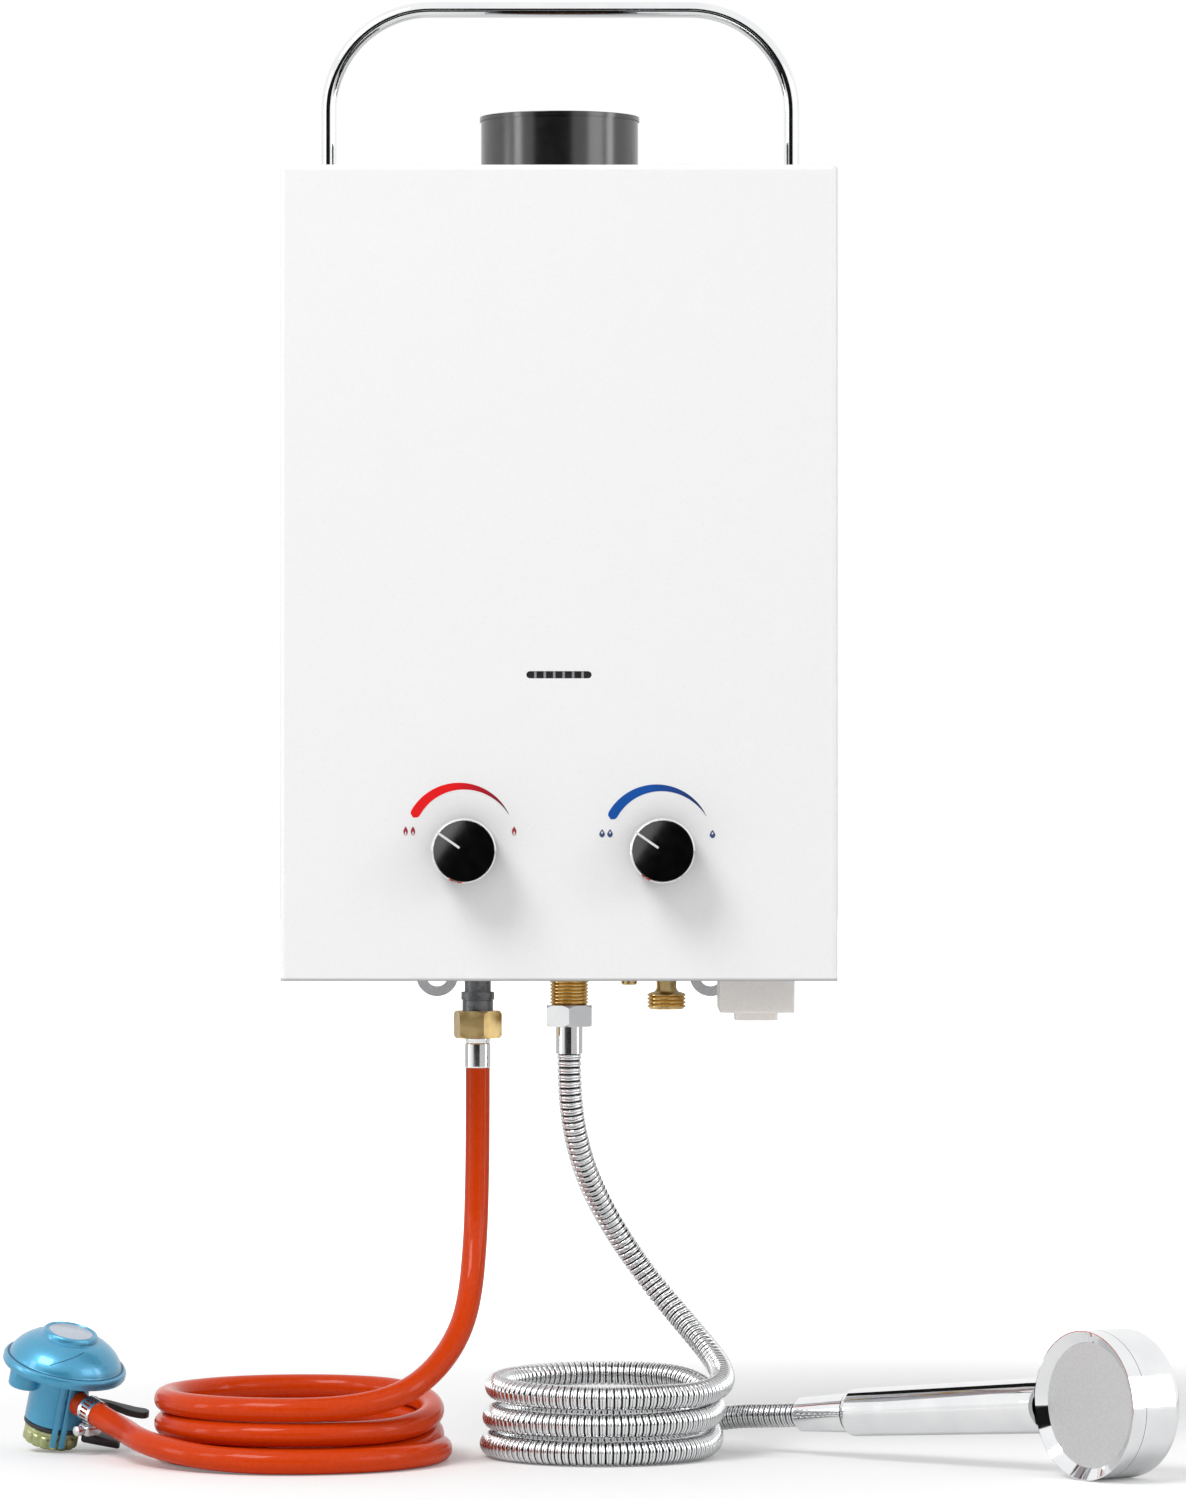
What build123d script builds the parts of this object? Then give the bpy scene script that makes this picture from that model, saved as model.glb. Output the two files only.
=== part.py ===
from build123d import *
import os
from math import cos, pi, radians, sin, sqrt, tan

# A portable propane water heater that hangs on a wall, with its gas hose and regulator
# and its hand shower.  Millimetres.  The origin is the hanging hole in the wall plane,
# +Z is up, +X is to the right seen from the front, and the front faces -Y.

# ---------------------------------------------------------------- driving dimensions
# Case
case_width = 295
case_height = 432
case_depth = 129
hang_drop = 32  # from the top of the case down to the hanging hole
wall_gap = 13  # from the wall to the back of the rear panel
cover_sheet = 1
panel_sheet = 1.2
flange_depth = 14
cover_corner = 3
seam = 0.3  # between two sheets that meet
fit_gap = 0.05  # radial, a pin or shaft in its hole
slip_gap = 0.3  # round a piece that moves past another
core_depth = 57  # from the back of the case to the flue, burner and pipe fittings

# Screws and brackets
screw_radius = 2
screw_head_radius = 3.3
screw_length = 8
screw_inset = 26
bracket_sheet = 2
hang_hole_radius = 4.5
hang_plate_width = 40
hang_foot_width = 13
hang_plate_height = 40
ear_spacing = 150
ear_offset = 7.5
ear_radius = 11.5
ear_hole_radius = 6
ear_drop = 1.4  # from the bottom of the case to the holes
bracket_strip = 16

# Carrying handle
handle_span = 262
handle_rise = 100
handle_rod = 8.5
handle_corner = 60
pivot_drop = 20
pivot_pin_radius = 1.5
pin_head_radius = 2.8
pin_head = 0.9
clip_sheet = 1.5
clip_ear_radius = 5.8
clip_tail = 16

# Flue, exchanger and burner
flue_radius = 42.3
flue_rise = 31
flue_sheet = 1
flue_foot = 14
flue_rim = 0.7
flue_rim_height = 2.5
flue_flange = 5
chamber_side = 47.5  # from the side of the case
chamber_depth = 84
chamber_sheet = 1
chamber_drop = 52  # from the top of the case to the top of the chamber
burner_rise = 185  # from the bottom of the case to the chamber
hood_width = 104
pipe_radius = 6
pipe_wall = 1
water_way_bend = 12.7
side_pipe_gap = 15
pass_pitch = 26
pass_drop = 20
pass_overhang = 14
fin_inset = 8
fin_pitch = 8
fin_sheet = 0.5
fin_height = 34
bar_inset = 10
bar_wall = 1
bar_pitch = 16
bar_thickness = 7
bar_length = 76
bar_height = 38
port_width = 1.2
port_pitch = 6
port_count = 11
manifold_size = 12
nozzle_radius = 2.5

# Knobs and viewing slot
gas_knob_x = -50
water_knob_x = 54.5
knob_rise = 69.2  # from the bottom of the case
knob_radius = 17.1
knob_ring_wall = 1.2
knob_ring_height = 8
knob_height = 24
knob_gap = 1
knob_socket = 14
pointer_width = 1.3
pointer_depth = 0.4
pointer_length = 13.5
pointer_angle = 145
spindle_radius = 4
spindle_depth = 24
spindle_hole_radius = 8
slot_rise = 162
slot_width = 34.5
slot_height = 3.8
slot_ribs = 6
slot_rib_pitch = 5
slot_rib_width = 1.3
window_margin = 5
window_thickness = 2

# Valves and fittings
valve_width = 50
valve_depth = 50
valve_height = 58
valve_centre_depth = 67  # from the back of the case
valve_boss_radius = 12
valve_boss = 20
solenoid_radius = 12
solenoid_length = 34
gas_inlet_x = -44.1
gas_neck_radius = 7.1
gas_collar_radius = 8.9
gas_neck_drop = 8.1  # these four are below the bottom of the case
gas_collar_drop = 12.3
gas_nut_drop = 18.2
gas_nut_end = 33
gas_thread_radius = 8.3
gas_thread_length = 12
gas_nut_width = 23.4
gas_nut_turn = 15
nut_bevel = 1.6
ferrule_radius = 6.9
ferrule_end = 49.1
hot_outlet_x = 5.2
cold_inlet_x = 57.6
pipe_thread_radius = 10.4775  # half-inch parallel pipe thread
cold_neck_radius = 5.4
cold_thread_drop = 8.7
cold_thread_end = 17.4
hot_nut_drop = 15.2
hot_nut_end = 26.7
hot_nut_width = 24.4
hot_sleeve_radius = 7.2
hot_sleeve_end = 41.4
elbow_width = 24
elbow_height = 26
drain_x = 37.5
drain_radius = 4.3
drain_end = 4.3
diaphragm_radius = 29
diaphragm_flange = 10
diaphragm_cover = 12
rod_radius = 3
rod_reach = 14
rod_travel = 3
rod_foot_radius = 6
rod_foot = 2
switch_width = 9
switch_depth = 20
switch_height = 20
switch_button_radius = 2

# Electrics
battery_x = 105.6
cell_radius = 17.1
cell_length = 61.5
cell_gap = 0.15
tray_width = 40.2
tray_rib = 2.2
tray_drop = 18.2
tray_grip_drop = 22.8
tray_grip_width = 22.9
tray_grip_depth = 46
holder_wall = 1.5
holder_roof = 4
box_width = 46
box_depth = 30
box_height = 70
box_side = 9.5
box_rise = 100
electrode_radius = 3
electrode_pin_radius = 0.9
electrode_spacing = 30
electrode_drop = 20
thermostat_radius = 9
thermostat_height = 8

# Hoses
gas_hose_diameter = 13
shower_hose_diameter = 13.5
floor_drop = 256.6  # from the bottom of the case to the ground
gas_coil_x = -139
gas_coil_y = -102
gas_coil_radius = 77.5
gas_coil_turns = 3
shower_coil_x = 24
shower_coil_y = -84
shower_coil_radius = 65.2
shower_coil_turns = 3

# Gas regulator
regulator_x = -276
regulator_y = -55
regulator_lean = 18
regulator_lean_side = 40  # the way it leans, from straight ahead towards the right
coupling_radius = 15
coupling_height = 10
coupling_bore_radius = 10.5
coupling_bore_depth = 8
regulator_neck_radius = 16
regulator_spigot_radius = 13
regulator_neck_height = 28
regulator_rim_radius = 33.7
regulator_rim_height = 5
regulator_flange_radius = 31
regulator_flange_height = 5
dome_height = 13
dome_waist_rise = 9.4
dome_waist_radius = 24
dome_top_radius = 17
dome_cap_radius = 13
dome_cap_height = 4
nozzle_height = 29
nozzle_boss_radius = 7.4
nozzle_reach = 19
nozzle_straight = 25  # of hose before it bends
nozzle_turn = -47
clamp_width = 9
clamp_band = 0.8
clamp_inset = 6
clamp_box_length = 13
clamp_box_height = 6
lever_ring_height = 2
lever_side = 5  # of the block beside the neck, outwards
lever_block_width = 10
lever_top = 29  # these two are from the foot of the coupling
lever_lift = 6.5
lever_thickness = 5
lever_reach = 50
lever_width = 9
lever_foot_reach = 38
lever_foot_width = 22
lever_foot_height = 6
lever_foot_corner = 3

# Hand shower
cone_length = 31
cone_small_radius = 9.1
cone_large_radius = 10.6
shower_grip_radius = 12.6
shower_neck_radius = 14.6
shower_grip_length = 117
shower_reach = 26
shower_head_radius = 38.8
shower_head_depth = 35
shower_ring_depth = 9
shower_plate_radius = 32.7
shower_plate_depth = 3
shower_plate_inset = 4
shower_shoulder = 2.5
shower_lip = 0.4
shower_wall = 2.5
shower_water_way = 6
shower_hub_radius = 8
shower_hub = 2
shower_cone_x = 130.6
shower_cone_y = -83.9
shower_cone_rise = 22
shower_cone_axis = (0.800, -0.590, 0.085)
shower_face_x = 23.1  # these two are from the end of the grip
shower_face_y = -43.7
shower_face_axis = (-0.795, -0.606, 0)
grip_end_round = 4
head_back_round = 6

# ---------------------------------------------------------------- levels and planes
case_top = hang_drop
case_bottom = case_top - case_height
case_middle = case_top - case_height / 2
case_back = -wall_gap
case_front = case_back - case_depth
panel_face = case_back - panel_sheet
cover_face = case_front + cover_sheet
core_y = case_back - core_depth
ground = case_bottom - floor_drop
inner_width = case_width - 2 * cover_sheet - 2 * seam
plate_bottom = case_bottom + cover_sheet
plate_top = plate_bottom + panel_sheet
chamber_width = case_width - 2 * chamber_side
chamber_top = case_top - chamber_drop
chamber_bottom = case_bottom + burner_rise
fin_count = int((chamber_width - 2 * fin_inset) / fin_pitch)
bar_count = int((chamber_width - 2 * bar_inset) / bar_pitch)
pass_z = chamber_top - pass_drop
knob_z = case_bottom + knob_rise
slot_z = case_bottom + slot_rise
valve_y = case_back - valve_centre_depth
valve_front = valve_y - valve_depth / 2
valve_bottom = knob_z - valve_height / 2
valve_top = knob_z + valve_height / 2
handle_axis_y = case_back / 2
pivot_z = case_top - pivot_drop
leg_x = (handle_span - handle_rod) / 2

# the regulator stands on its coupling and leans, and the hand shower lies on the ground
lean = radians(regulator_lean)
lean_side = radians(regulator_lean_side)
regulator_axis = (sin(lean) * sin(lean_side), -sin(lean) * cos(lean_side), cos(lean))
regulator_base = (regulator_x, regulator_y, ground + coupling_radius * sin(lean))
regulator_plane = Plane(regulator_base, x_dir=(1, 0, 0), z_dir=regulator_axis)
ring_end = coupling_height + slip_gap + lever_ring_height
neck_end = coupling_height + regulator_neck_height
bonnet_z = neck_end + regulator_flange_height
rim_top = bonnet_z + regulator_rim_height
dome_top = rim_top + dome_height
dome_waist = rim_top + dome_waist_rise
nozzle_angle = radians(nozzle_turn)
nozzle_axis = regulator_plane.x_dir * cos(nozzle_angle) + regulator_plane.y_dir * sin(nozzle_angle)
nozzle_root = Vector(*regulator_base) + regulator_plane.z_dir * nozzle_height
nozzle_plane = Plane(nozzle_root, x_dir=regulator_plane.z_dir, z_dir=nozzle_axis)
nozzle_end = nozzle_root + nozzle_axis * nozzle_reach
nozzle_bend = nozzle_root + nozzle_axis * (nozzle_reach + nozzle_straight)
shower_cone_point = (shower_cone_x, shower_cone_y, ground + shower_cone_rise)
shower_plane = Plane(shower_cone_point, z_dir=shower_cone_axis)
grip_end = cone_length + shower_grip_length
grip_end_point = shower_plane.origin + shower_plane.z_dir * grip_end
head_point = (grip_end_point.X + shower_face_x, grip_end_point.Y + shower_face_y, ground + shower_head_radius)
head_plane = Plane(head_point, z_dir=shower_face_axis)

os.makedirs("parts", exist_ok=True)


def save(piece, name):
    """Label a finished piece and write it to its own file."""
    piece.label = name
    export_step(piece, f"parts/{name}.step")


def bend_radii(points):
    """The largest arc that each corner's two runs allow."""
    radii = []
    for before, corner, after in zip(points, points[1:], points[2:]):
        run_in = Vector(*corner) - Vector(*before)
        run_out = Vector(*after) - Vector(*corner)
        half_turn = radians(run_in.get_angle(run_out)) / 2
        radii.append(0.45 * min(run_in.length, run_out.length) / tan(half_turn))
    return radii


# ---------------------------------------------------------------- case
with BuildPart() as front_cover:
    with BuildSketch(Plane.XZ.offset(wall_gap)):
        with Locations((0, case_middle)):
            Rectangle(case_width, case_height)
    extrude(amount=case_depth)
    front_edges = front_cover.faces().sort_by(Axis.Y)[0].edges().sort_by(Axis.Z)[1:]
    side_edges = front_cover.faces().sort_by(Axis.Z)[-1].edges().filter_by(Axis.Y)
    fillet(front_edges + side_edges, radius=cover_corner)
    back_face = front_cover.faces().sort_by(Axis.Y)[-1]
    bottom_face = front_cover.faces().sort_by(Axis.Z)[0]
    offset(amount=-cover_sheet, openings=[back_face, bottom_face])
    # the notch that lets the cover come off forwards past the flue
    with BuildSketch(Plane.XY.offset(case_top)):
        with Locations((0, core_y)):
            Circle(flue_radius + seam)
        with Locations((0, (core_y + case_back) / 2)):
            Rectangle(2 * (flue_radius + seam), core_depth)
    extrude(amount=-2 * cover_sheet, mode=Mode.SUBTRACT)
    with BuildSketch(Plane.XZ.offset(-case_front)):
        with Locations((0, slot_z)):
            SlotOverall(slot_width, slot_height)
        with Locations((gas_knob_x, knob_z), (water_knob_x, knob_z)):
            Circle(spindle_hole_radius)
    extrude(amount=-2 * cover_sheet, mode=Mode.SUBTRACT)
    for side in (-1, 1):
        for height in (case_top - screw_inset, case_bottom + screw_inset):
            seat = Plane((side * case_width / 2, case_back - flange_depth / 2, height), z_dir=(side, 0, 0))
            with Locations(seat.location):
                CounterSinkHole(
                    screw_radius + fit_gap,
                    screw_head_radius,
                    depth=2 * cover_sheet,
                    counter_sink_angle=90,
                )
save(front_cover.part, "front_cover")

with BuildPart() as rear_panel:
    panel_top = case_top - cover_sheet - seam
    with BuildSketch(Plane.XZ.offset(wall_gap)):
        with Locations((0, (panel_top + case_bottom) / 2)):
            Rectangle(inner_width, panel_top - case_bottom)
    extrude(amount=panel_sheet)
    # flanges on the sides and the top, which stop above the bottom plate
    flange_bottom = plate_top + seam
    with BuildSketch(Plane.XZ.offset(-panel_face)):
        with Locations((0, (panel_top + flange_bottom) / 2)):
            Rectangle(inner_width, panel_top - flange_bottom)
        with Locations((0, (panel_top + flange_bottom) / 2 - panel_sheet)):
            Rectangle(inner_width - 2 * panel_sheet, panel_top - flange_bottom, mode=Mode.SUBTRACT)
    extrude(amount=flange_depth - panel_sheet)
    top_edges = rear_panel.edges().filter_by(Axis.Y).group_by(Axis.Z)[-1]
    fillet(top_edges.sort_by(Axis.X)[0::len(top_edges) - 1], radius=cover_corner)
    # the tongue that closes the notch of the cover behind the flue
    tongue_front = core_y + flue_radius / 4
    with BuildSketch(Plane.XY.offset(case_top)):
        with Locations((0, (tongue_front + case_back) / 2)):
            Rectangle(2 * flue_radius, case_back - tongue_front)
        with Locations((0, core_y)):
            Circle(flue_radius + seam, mode=Mode.SUBTRACT)
    extrude(amount=panel_top - panel_sheet - case_top)
    for side in (-1, 1):
        for height in (case_top - screw_inset, case_bottom + screw_inset):
            seat = Plane((side * inner_width / 2, case_back - flange_depth / 2, height), z_dir=(side, 0, 0))
            with Locations(seat.location):
                Hole(screw_radius + fit_gap, depth=2 * panel_sheet)
save(rear_panel.part, "rear_panel")

with BuildPart() as bottom_plate:
    plate_depth = panel_face - cover_face - seam
    plate_y = panel_face - plate_depth / 2
    with BuildSketch(Plane.XY.offset(plate_bottom)):
        with Locations((0, plate_y)):
            Rectangle(inner_width, plate_depth)
        with Locations((gas_inlet_x, core_y)):
            Circle(gas_neck_radius + slip_gap, mode=Mode.SUBTRACT)
        with Locations((hot_outlet_x, core_y)):
            Circle(pipe_thread_radius + slip_gap, mode=Mode.SUBTRACT)
        with Locations((cold_inlet_x, core_y)):
            Circle(cold_neck_radius + slip_gap, mode=Mode.SUBTRACT)
        with Locations((drain_x, core_y)):
            Circle(drain_radius + slip_gap, mode=Mode.SUBTRACT)
        with Locations((battery_x, core_y)):
            tray_depth = 4 * (cell_radius + cell_gap) + 3 * tray_rib
            Rectangle(tray_width + 2 * slip_gap, tray_depth + 2 * slip_gap, mode=Mode.SUBTRACT)
    extrude(amount=panel_sheet)
    fillet(bottom_plate.edges().filter_by(Axis.Z).group_by(Axis.Y)[0], radius=cover_corner)
    with BuildSketch(Plane.XZ.offset(-panel_face)):
        with Locations((0, plate_bottom + flange_depth / 2)):
            Rectangle(inner_width - 4 * panel_sheet, flange_depth)
    extrude(amount=panel_sheet)
save(bottom_plate.part, "bottom_plate")

with BuildPart() as cover_screws:
    for side in (-1, 1):
        for height in (case_top - screw_inset, case_bottom + screw_inset):
            seat = Plane((side * case_width / 2, case_back - flange_depth / 2, height), z_dir=(side, 0, 0))
            head_depth = screw_head_radius - screw_radius
            with BuildSketch(seat):
                Circle(screw_head_radius - fit_gap)
            extrude(amount=-head_depth, taper=45)
            with BuildSketch(seat):
                Circle(screw_radius)
            extrude(amount=-screw_length)
save(cover_screws.part, "cover_screws")

with BuildPart() as hanging_bracket:
    foot_edge = hang_plate_width / 2 + hang_foot_width
    with BuildSketch(Plane.XY.offset(-hang_plate_height / 2)):
        with Locations((0, case_back / 2)):
            Rectangle(hang_plate_width, wall_gap)
        with Locations((0, case_back / 2 - bracket_sheet)):
            Rectangle(hang_plate_width - 2 * bracket_sheet, wall_gap, mode=Mode.SUBTRACT)
        with Locations((0, case_back + bracket_sheet / 2)):
            Rectangle(2 * foot_edge, bracket_sheet)
        with Locations((0, case_back + bracket_sheet / 2)):
            Rectangle(hang_plate_width - 2 * bracket_sheet, bracket_sheet, mode=Mode.SUBTRACT)
    extrude(amount=hang_plate_height)
    with BuildSketch(Plane.XZ):
        Circle(hang_hole_radius)
    extrude(amount=bracket_sheet, mode=Mode.SUBTRACT)
save(hanging_bracket.part, "hanging_bracket")

with BuildPart() as lower_bracket:
    strip_width = ear_spacing + 2 * ear_radius
    shelf_z = case_bottom + ear_radius
    with BuildSketch(Plane.XZ.offset(wall_gap - bracket_sheet)):
        with Locations((ear_offset, shelf_z + bracket_strip / 2)):
            Rectangle(strip_width, bracket_strip)
    extrude(amount=bracket_sheet)
    with BuildSketch(Plane.XY.offset(shelf_z)):
        with Locations((ear_offset, case_back / 2)):
            Rectangle(strip_width, wall_gap)
    extrude(amount=bracket_sheet)
    with BuildSketch(Plane.XZ):
        for side in (-1, 1):
            ear_x = ear_offset + side * ear_spacing / 2
            with Locations((ear_x, (shelf_z + case_bottom - ear_drop) / 2)):
                Rectangle(2 * ear_radius, shelf_z - case_bottom + ear_drop)
            with Locations((ear_x, case_bottom - ear_drop)):
                Circle(ear_radius)
                Circle(ear_hole_radius, mode=Mode.SUBTRACT)
    extrude(amount=bracket_sheet)
save(lower_bracket.part, "lower_bracket")

# ---------------------------------------------------------------- handle
with BuildPart() as handle:
    top_z = case_top + handle_rise - handle_rod / 2
    with BuildLine(Plane.XZ.offset(-handle_axis_y)) as handle_path:
        FilletPolyline(
            (-leg_x, pivot_z),
            (-leg_x, top_z),
            (leg_x, top_z),
            (leg_x, pivot_z),
            radius=handle_corner - handle_rod / 2,
        )
    with BuildSketch(Plane((-leg_x, handle_axis_y, pivot_z), z_dir=(0, 0, 1))):
        Circle(handle_rod / 2)
    sweep(path=handle_path.line)
    with Locations((-leg_x, handle_axis_y, pivot_z), (leg_x, handle_axis_y, pivot_z)):
        Sphere(handle_rod / 2)
        Cylinder(pivot_pin_radius + fit_gap, 2 * handle_rod, rotation=(0, 90, 0), mode=Mode.SUBTRACT)
save(handle.part, "handle")

ear_gap = handle_rod / 2 + slip_gap
with BuildPart() as handle_brackets:
    for side in (-1, 1):
        clip_width = 2 * (ear_gap + clip_sheet)
        with BuildSketch(Plane.XZ.offset(wall_gap - clip_sheet)):
            with Locations((side * leg_x, pivot_z - clip_tail / 2)):
                Rectangle(clip_width, 2 * clip_ear_radius + clip_tail)
        extrude(amount=clip_sheet)
        for edge in (-1, 1):
            ear_x = side * leg_x + edge * (ear_gap + clip_sheet / 2)
            with BuildSketch(Plane.YZ.offset(ear_x - clip_sheet / 2)):
                with Locations(((case_back + handle_axis_y) / 2, pivot_z)):
                    Rectangle(handle_axis_y - case_back, 2 * clip_ear_radius)
                with Locations((handle_axis_y, pivot_z)):
                    Circle(clip_ear_radius)
                    Circle(pivot_pin_radius + fit_gap, mode=Mode.SUBTRACT)
            extrude(amount=clip_sheet)
save(handle_brackets.part, "handle_brackets")

with BuildPart() as handle_pins:
    for side in (-1, 1):
        pin_half = ear_gap + clip_sheet
        start = side * leg_x - pin_half - pin_head
        with BuildSketch(Plane((start, handle_axis_y, pivot_z), z_dir=(1, 0, 0))):
            Circle(pivot_pin_radius)
        extrude(amount=2 * (pin_half + pin_head))
        for head_x in (start, start + 2 * pin_half + pin_head):
            with BuildSketch(Plane((head_x, handle_axis_y, pivot_z), z_dir=(1, 0, 0))):
                Circle(pin_head_radius)
            extrude(amount=pin_head)
save(handle_pins.part, "handle_pins")

# ---------------------------------------------------------------- flue and heat exchanger
with BuildPart() as flue_collar:
    foot_z = case_top - flue_foot
    with BuildSketch(Plane.XY.offset(foot_z)):
        with Locations((0, core_y)):
            Circle(flue_radius)
    extrude(amount=flue_foot + flue_rise)
    with BuildSketch(Plane.XY.offset(case_top + flue_rise - flue_rim_height)):
        with Locations((0, core_y)):
            Circle(flue_radius + flue_rim)
    extrude(amount=flue_rim_height)
    fillet(flue_collar.edges().group_by(Axis.Z)[-1], radius=flue_rim / 2)
    with BuildSketch(Plane.XY.offset(foot_z)):
        with Locations((0, core_y)):
            Circle(flue_radius + flue_flange)
    extrude(amount=flue_sheet)
    with BuildSketch(Plane.XY.offset(foot_z)):
        with Locations((0, core_y)):
            Circle(flue_radius - flue_sheet)
    extrude(amount=flue_foot + flue_rise, mode=Mode.SUBTRACT)
save(flue_collar.part, "flue_collar")

with BuildPart() as flue_hood:
    with BuildSketch(Plane.XY.offset(chamber_top)):
        with Locations((0, core_y)):
            Rectangle(chamber_width, chamber_depth)
    with BuildSketch(Plane.XY.offset(foot_z)):
        with Locations((0, core_y)):
            Rectangle(hood_width, chamber_depth)
    loft()
    with BuildSketch(Plane.XY.offset(chamber_top)):
        with Locations((0, core_y)):
            Rectangle(chamber_width - 2 * chamber_sheet, chamber_depth - 2 * chamber_sheet)
    with BuildSketch(Plane.XY.offset(foot_z - chamber_sheet)):
        with Locations((0, core_y)):
            Rectangle(hood_width - 2 * chamber_sheet, chamber_depth - 2 * chamber_sheet)
    loft(mode=Mode.SUBTRACT)
    with BuildSketch(Plane.XY.offset(foot_z)):
        with Locations((0, core_y)):
            Circle(chamber_depth / 2 - 2 * chamber_sheet)
    extrude(amount=-2 * chamber_sheet, mode=Mode.SUBTRACT)
save(flue_hood.part, "flue_hood")

pass_ys = (core_y - pass_pitch, core_y, core_y + pass_pitch)
electrode_z = chamber_bottom + electrode_drop
with BuildPart() as combustion_chamber:
    with BuildSketch(Plane.XY.offset(chamber_bottom)):
        with Locations((0, core_y)):
            Rectangle(chamber_width, chamber_depth)
            inner_depth = chamber_depth - 2 * chamber_sheet
            Rectangle(chamber_width - 2 * chamber_sheet, inner_depth, mode=Mode.SUBTRACT)
    extrude(amount=chamber_top - chamber_bottom)
    with BuildSketch(Plane.YZ.offset(-chamber_width)):
        with Locations(*[(pass_y, pass_z) for pass_y in pass_ys]):
            Circle(pipe_radius + fit_gap)
    extrude(amount=2 * chamber_width, mode=Mode.SUBTRACT)
    with BuildSketch(Plane.XZ.offset(chamber_depth / 2 - core_y)):
        with Locations((-electrode_spacing / 2, electrode_z), (electrode_spacing / 2, electrode_z)):
            Circle(electrode_radius + fit_gap)
    extrude(amount=-2 * chamber_sheet, mode=Mode.SUBTRACT)
save(combustion_chamber.part, "combustion_chamber")

with BuildPart() as exchanger_fins:
    for index in range(fin_count):
        fin_x = (index - (fin_count - 1) / 2) * fin_pitch
        with BuildSketch(Plane.YZ.offset(fin_x)):
            with Locations((core_y, pass_z)):
                Rectangle(chamber_depth - 2 * chamber_sheet - 2 * fit_gap, fin_height)
            with Locations(*[(pass_y, pass_z) for pass_y in pass_ys]):
                Circle(pipe_radius + fit_gap, mode=Mode.SUBTRACT)
        extrude(amount=fin_sheet)
save(exchanger_fins.part, "exchanger_fins")

pipe_end_x = chamber_width / 2 + pass_overhang + pipe_radius
bend_x = chamber_width / 2 + pass_overhang
with BuildPart() as exchanger_pipe:
    with BuildLine() as exchanger_path:
        FilletPolyline(
            (pipe_end_x, pass_ys[0], pass_z),
            (-bend_x, pass_ys[0], pass_z),
            (-bend_x, pass_ys[1], pass_z),
            (bend_x, pass_ys[1], pass_z),
            (bend_x, pass_ys[2], pass_z),
            (-pipe_end_x, pass_ys[2], pass_z),
            radius=water_way_bend,
        )
    with BuildSketch(Plane(exchanger_path.line @ 0, z_dir=exchanger_path.line % 0)):
        Circle(pipe_radius)
        Circle(pipe_radius - pipe_wall, mode=Mode.SUBTRACT)
    sweep()
save(exchanger_pipe.part, "exchanger_pipe")

# ---------------------------------------------------------------- burner
burner_top = chamber_bottom
manifold_y = core_y - bar_length / 2 - manifold_size
manifold_z = burner_top - bar_height + manifold_size / 2
with BuildPart() as burner_bars:
    for index in range(bar_count):
        bar_x = (index - (bar_count - 1) / 2) * bar_pitch
        with BuildSketch(Plane.XY.offset(burner_top - bar_height)):
            with Locations((bar_x, core_y)):
                SlotOverall(bar_length, bar_thickness, rotation=90)
        extrude(amount=bar_height)
        with BuildSketch(Plane.XY.offset(burner_top)):
            with Locations((bar_x, core_y)):
                with GridLocations(0, port_pitch, 1, port_count):
                    Rectangle(bar_thickness / 2, port_width)
        extrude(amount=-2 * bar_wall, mode=Mode.SUBTRACT)
        # the hollow that carries the gas to the ports
        with BuildSketch(Plane.XY.offset(burner_top - bar_height + bar_wall)):
            with Locations((bar_x, core_y)):
                SlotOverall(bar_length - 2 * bar_wall, bar_thickness - 2 * bar_wall, rotation=90)
        extrude(amount=bar_height - 2 * bar_wall, mode=Mode.SUBTRACT)
save(burner_bars.part, "burner_bars")

with BuildPart() as gas_manifold:
    manifold_length = (bar_count - 1) * bar_pitch + 2 * manifold_size
    with BuildSketch(Plane.YZ.offset(-manifold_length / 2)):
        with Locations((manifold_y, manifold_z)):
            RectangleRounded(manifold_size, manifold_size, manifold_size / 6)
    extrude(amount=manifold_length)
    # one nozzle for each burner bar
    with BuildSketch(Plane.XZ.offset(-manifold_y)):
        with Locations((0, manifold_z)):
            with GridLocations(bar_pitch, 0, bar_count, 1):
                Circle(nozzle_radius)
    extrude(amount=-manifold_size)
    # the riser from the gas valve
    with BuildSketch(Plane.XY.offset(valve_top)):
        with Locations((gas_knob_x, manifold_y + manifold_size / 2)):
            Circle(manifold_size / 2)
    extrude(amount=manifold_z - valve_top)
save(gas_manifold.part, "gas_manifold")

with BuildPart() as electrodes:
    front_wall = core_y - chamber_depth / 2
    for side in (-1, 1):
        with BuildSketch(Plane.XZ.offset(-front_wall + 3 * electrode_radius)):
            with Locations((side * electrode_spacing / 2, electrode_z)):
                Circle(electrode_radius)
        extrude(amount=-6 * electrode_radius)
        with BuildSketch(Plane.XZ.offset(-front_wall)):
            with Locations((side * electrode_spacing / 2, electrode_z)):
                Circle(electrode_pin_radius)
        extrude(amount=-8 * electrode_radius)
save(electrodes.part, "electrodes")

with BuildPart() as overheat_thermostat:
    with BuildSketch(Plane.XZ.offset(-front_wall)):
        with Locations((chamber_width / 4, pass_z)):
            Circle(thermostat_radius)
    extrude(amount=thermostat_height / 4)
    with BuildSketch(Plane.XZ.offset(-front_wall)):
        with Locations((chamber_width / 4, pass_z)):
            Circle(0.8 * thermostat_radius)
    extrude(amount=thermostat_height)
save(overheat_thermostat.part, "overheat_thermostat")

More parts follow.
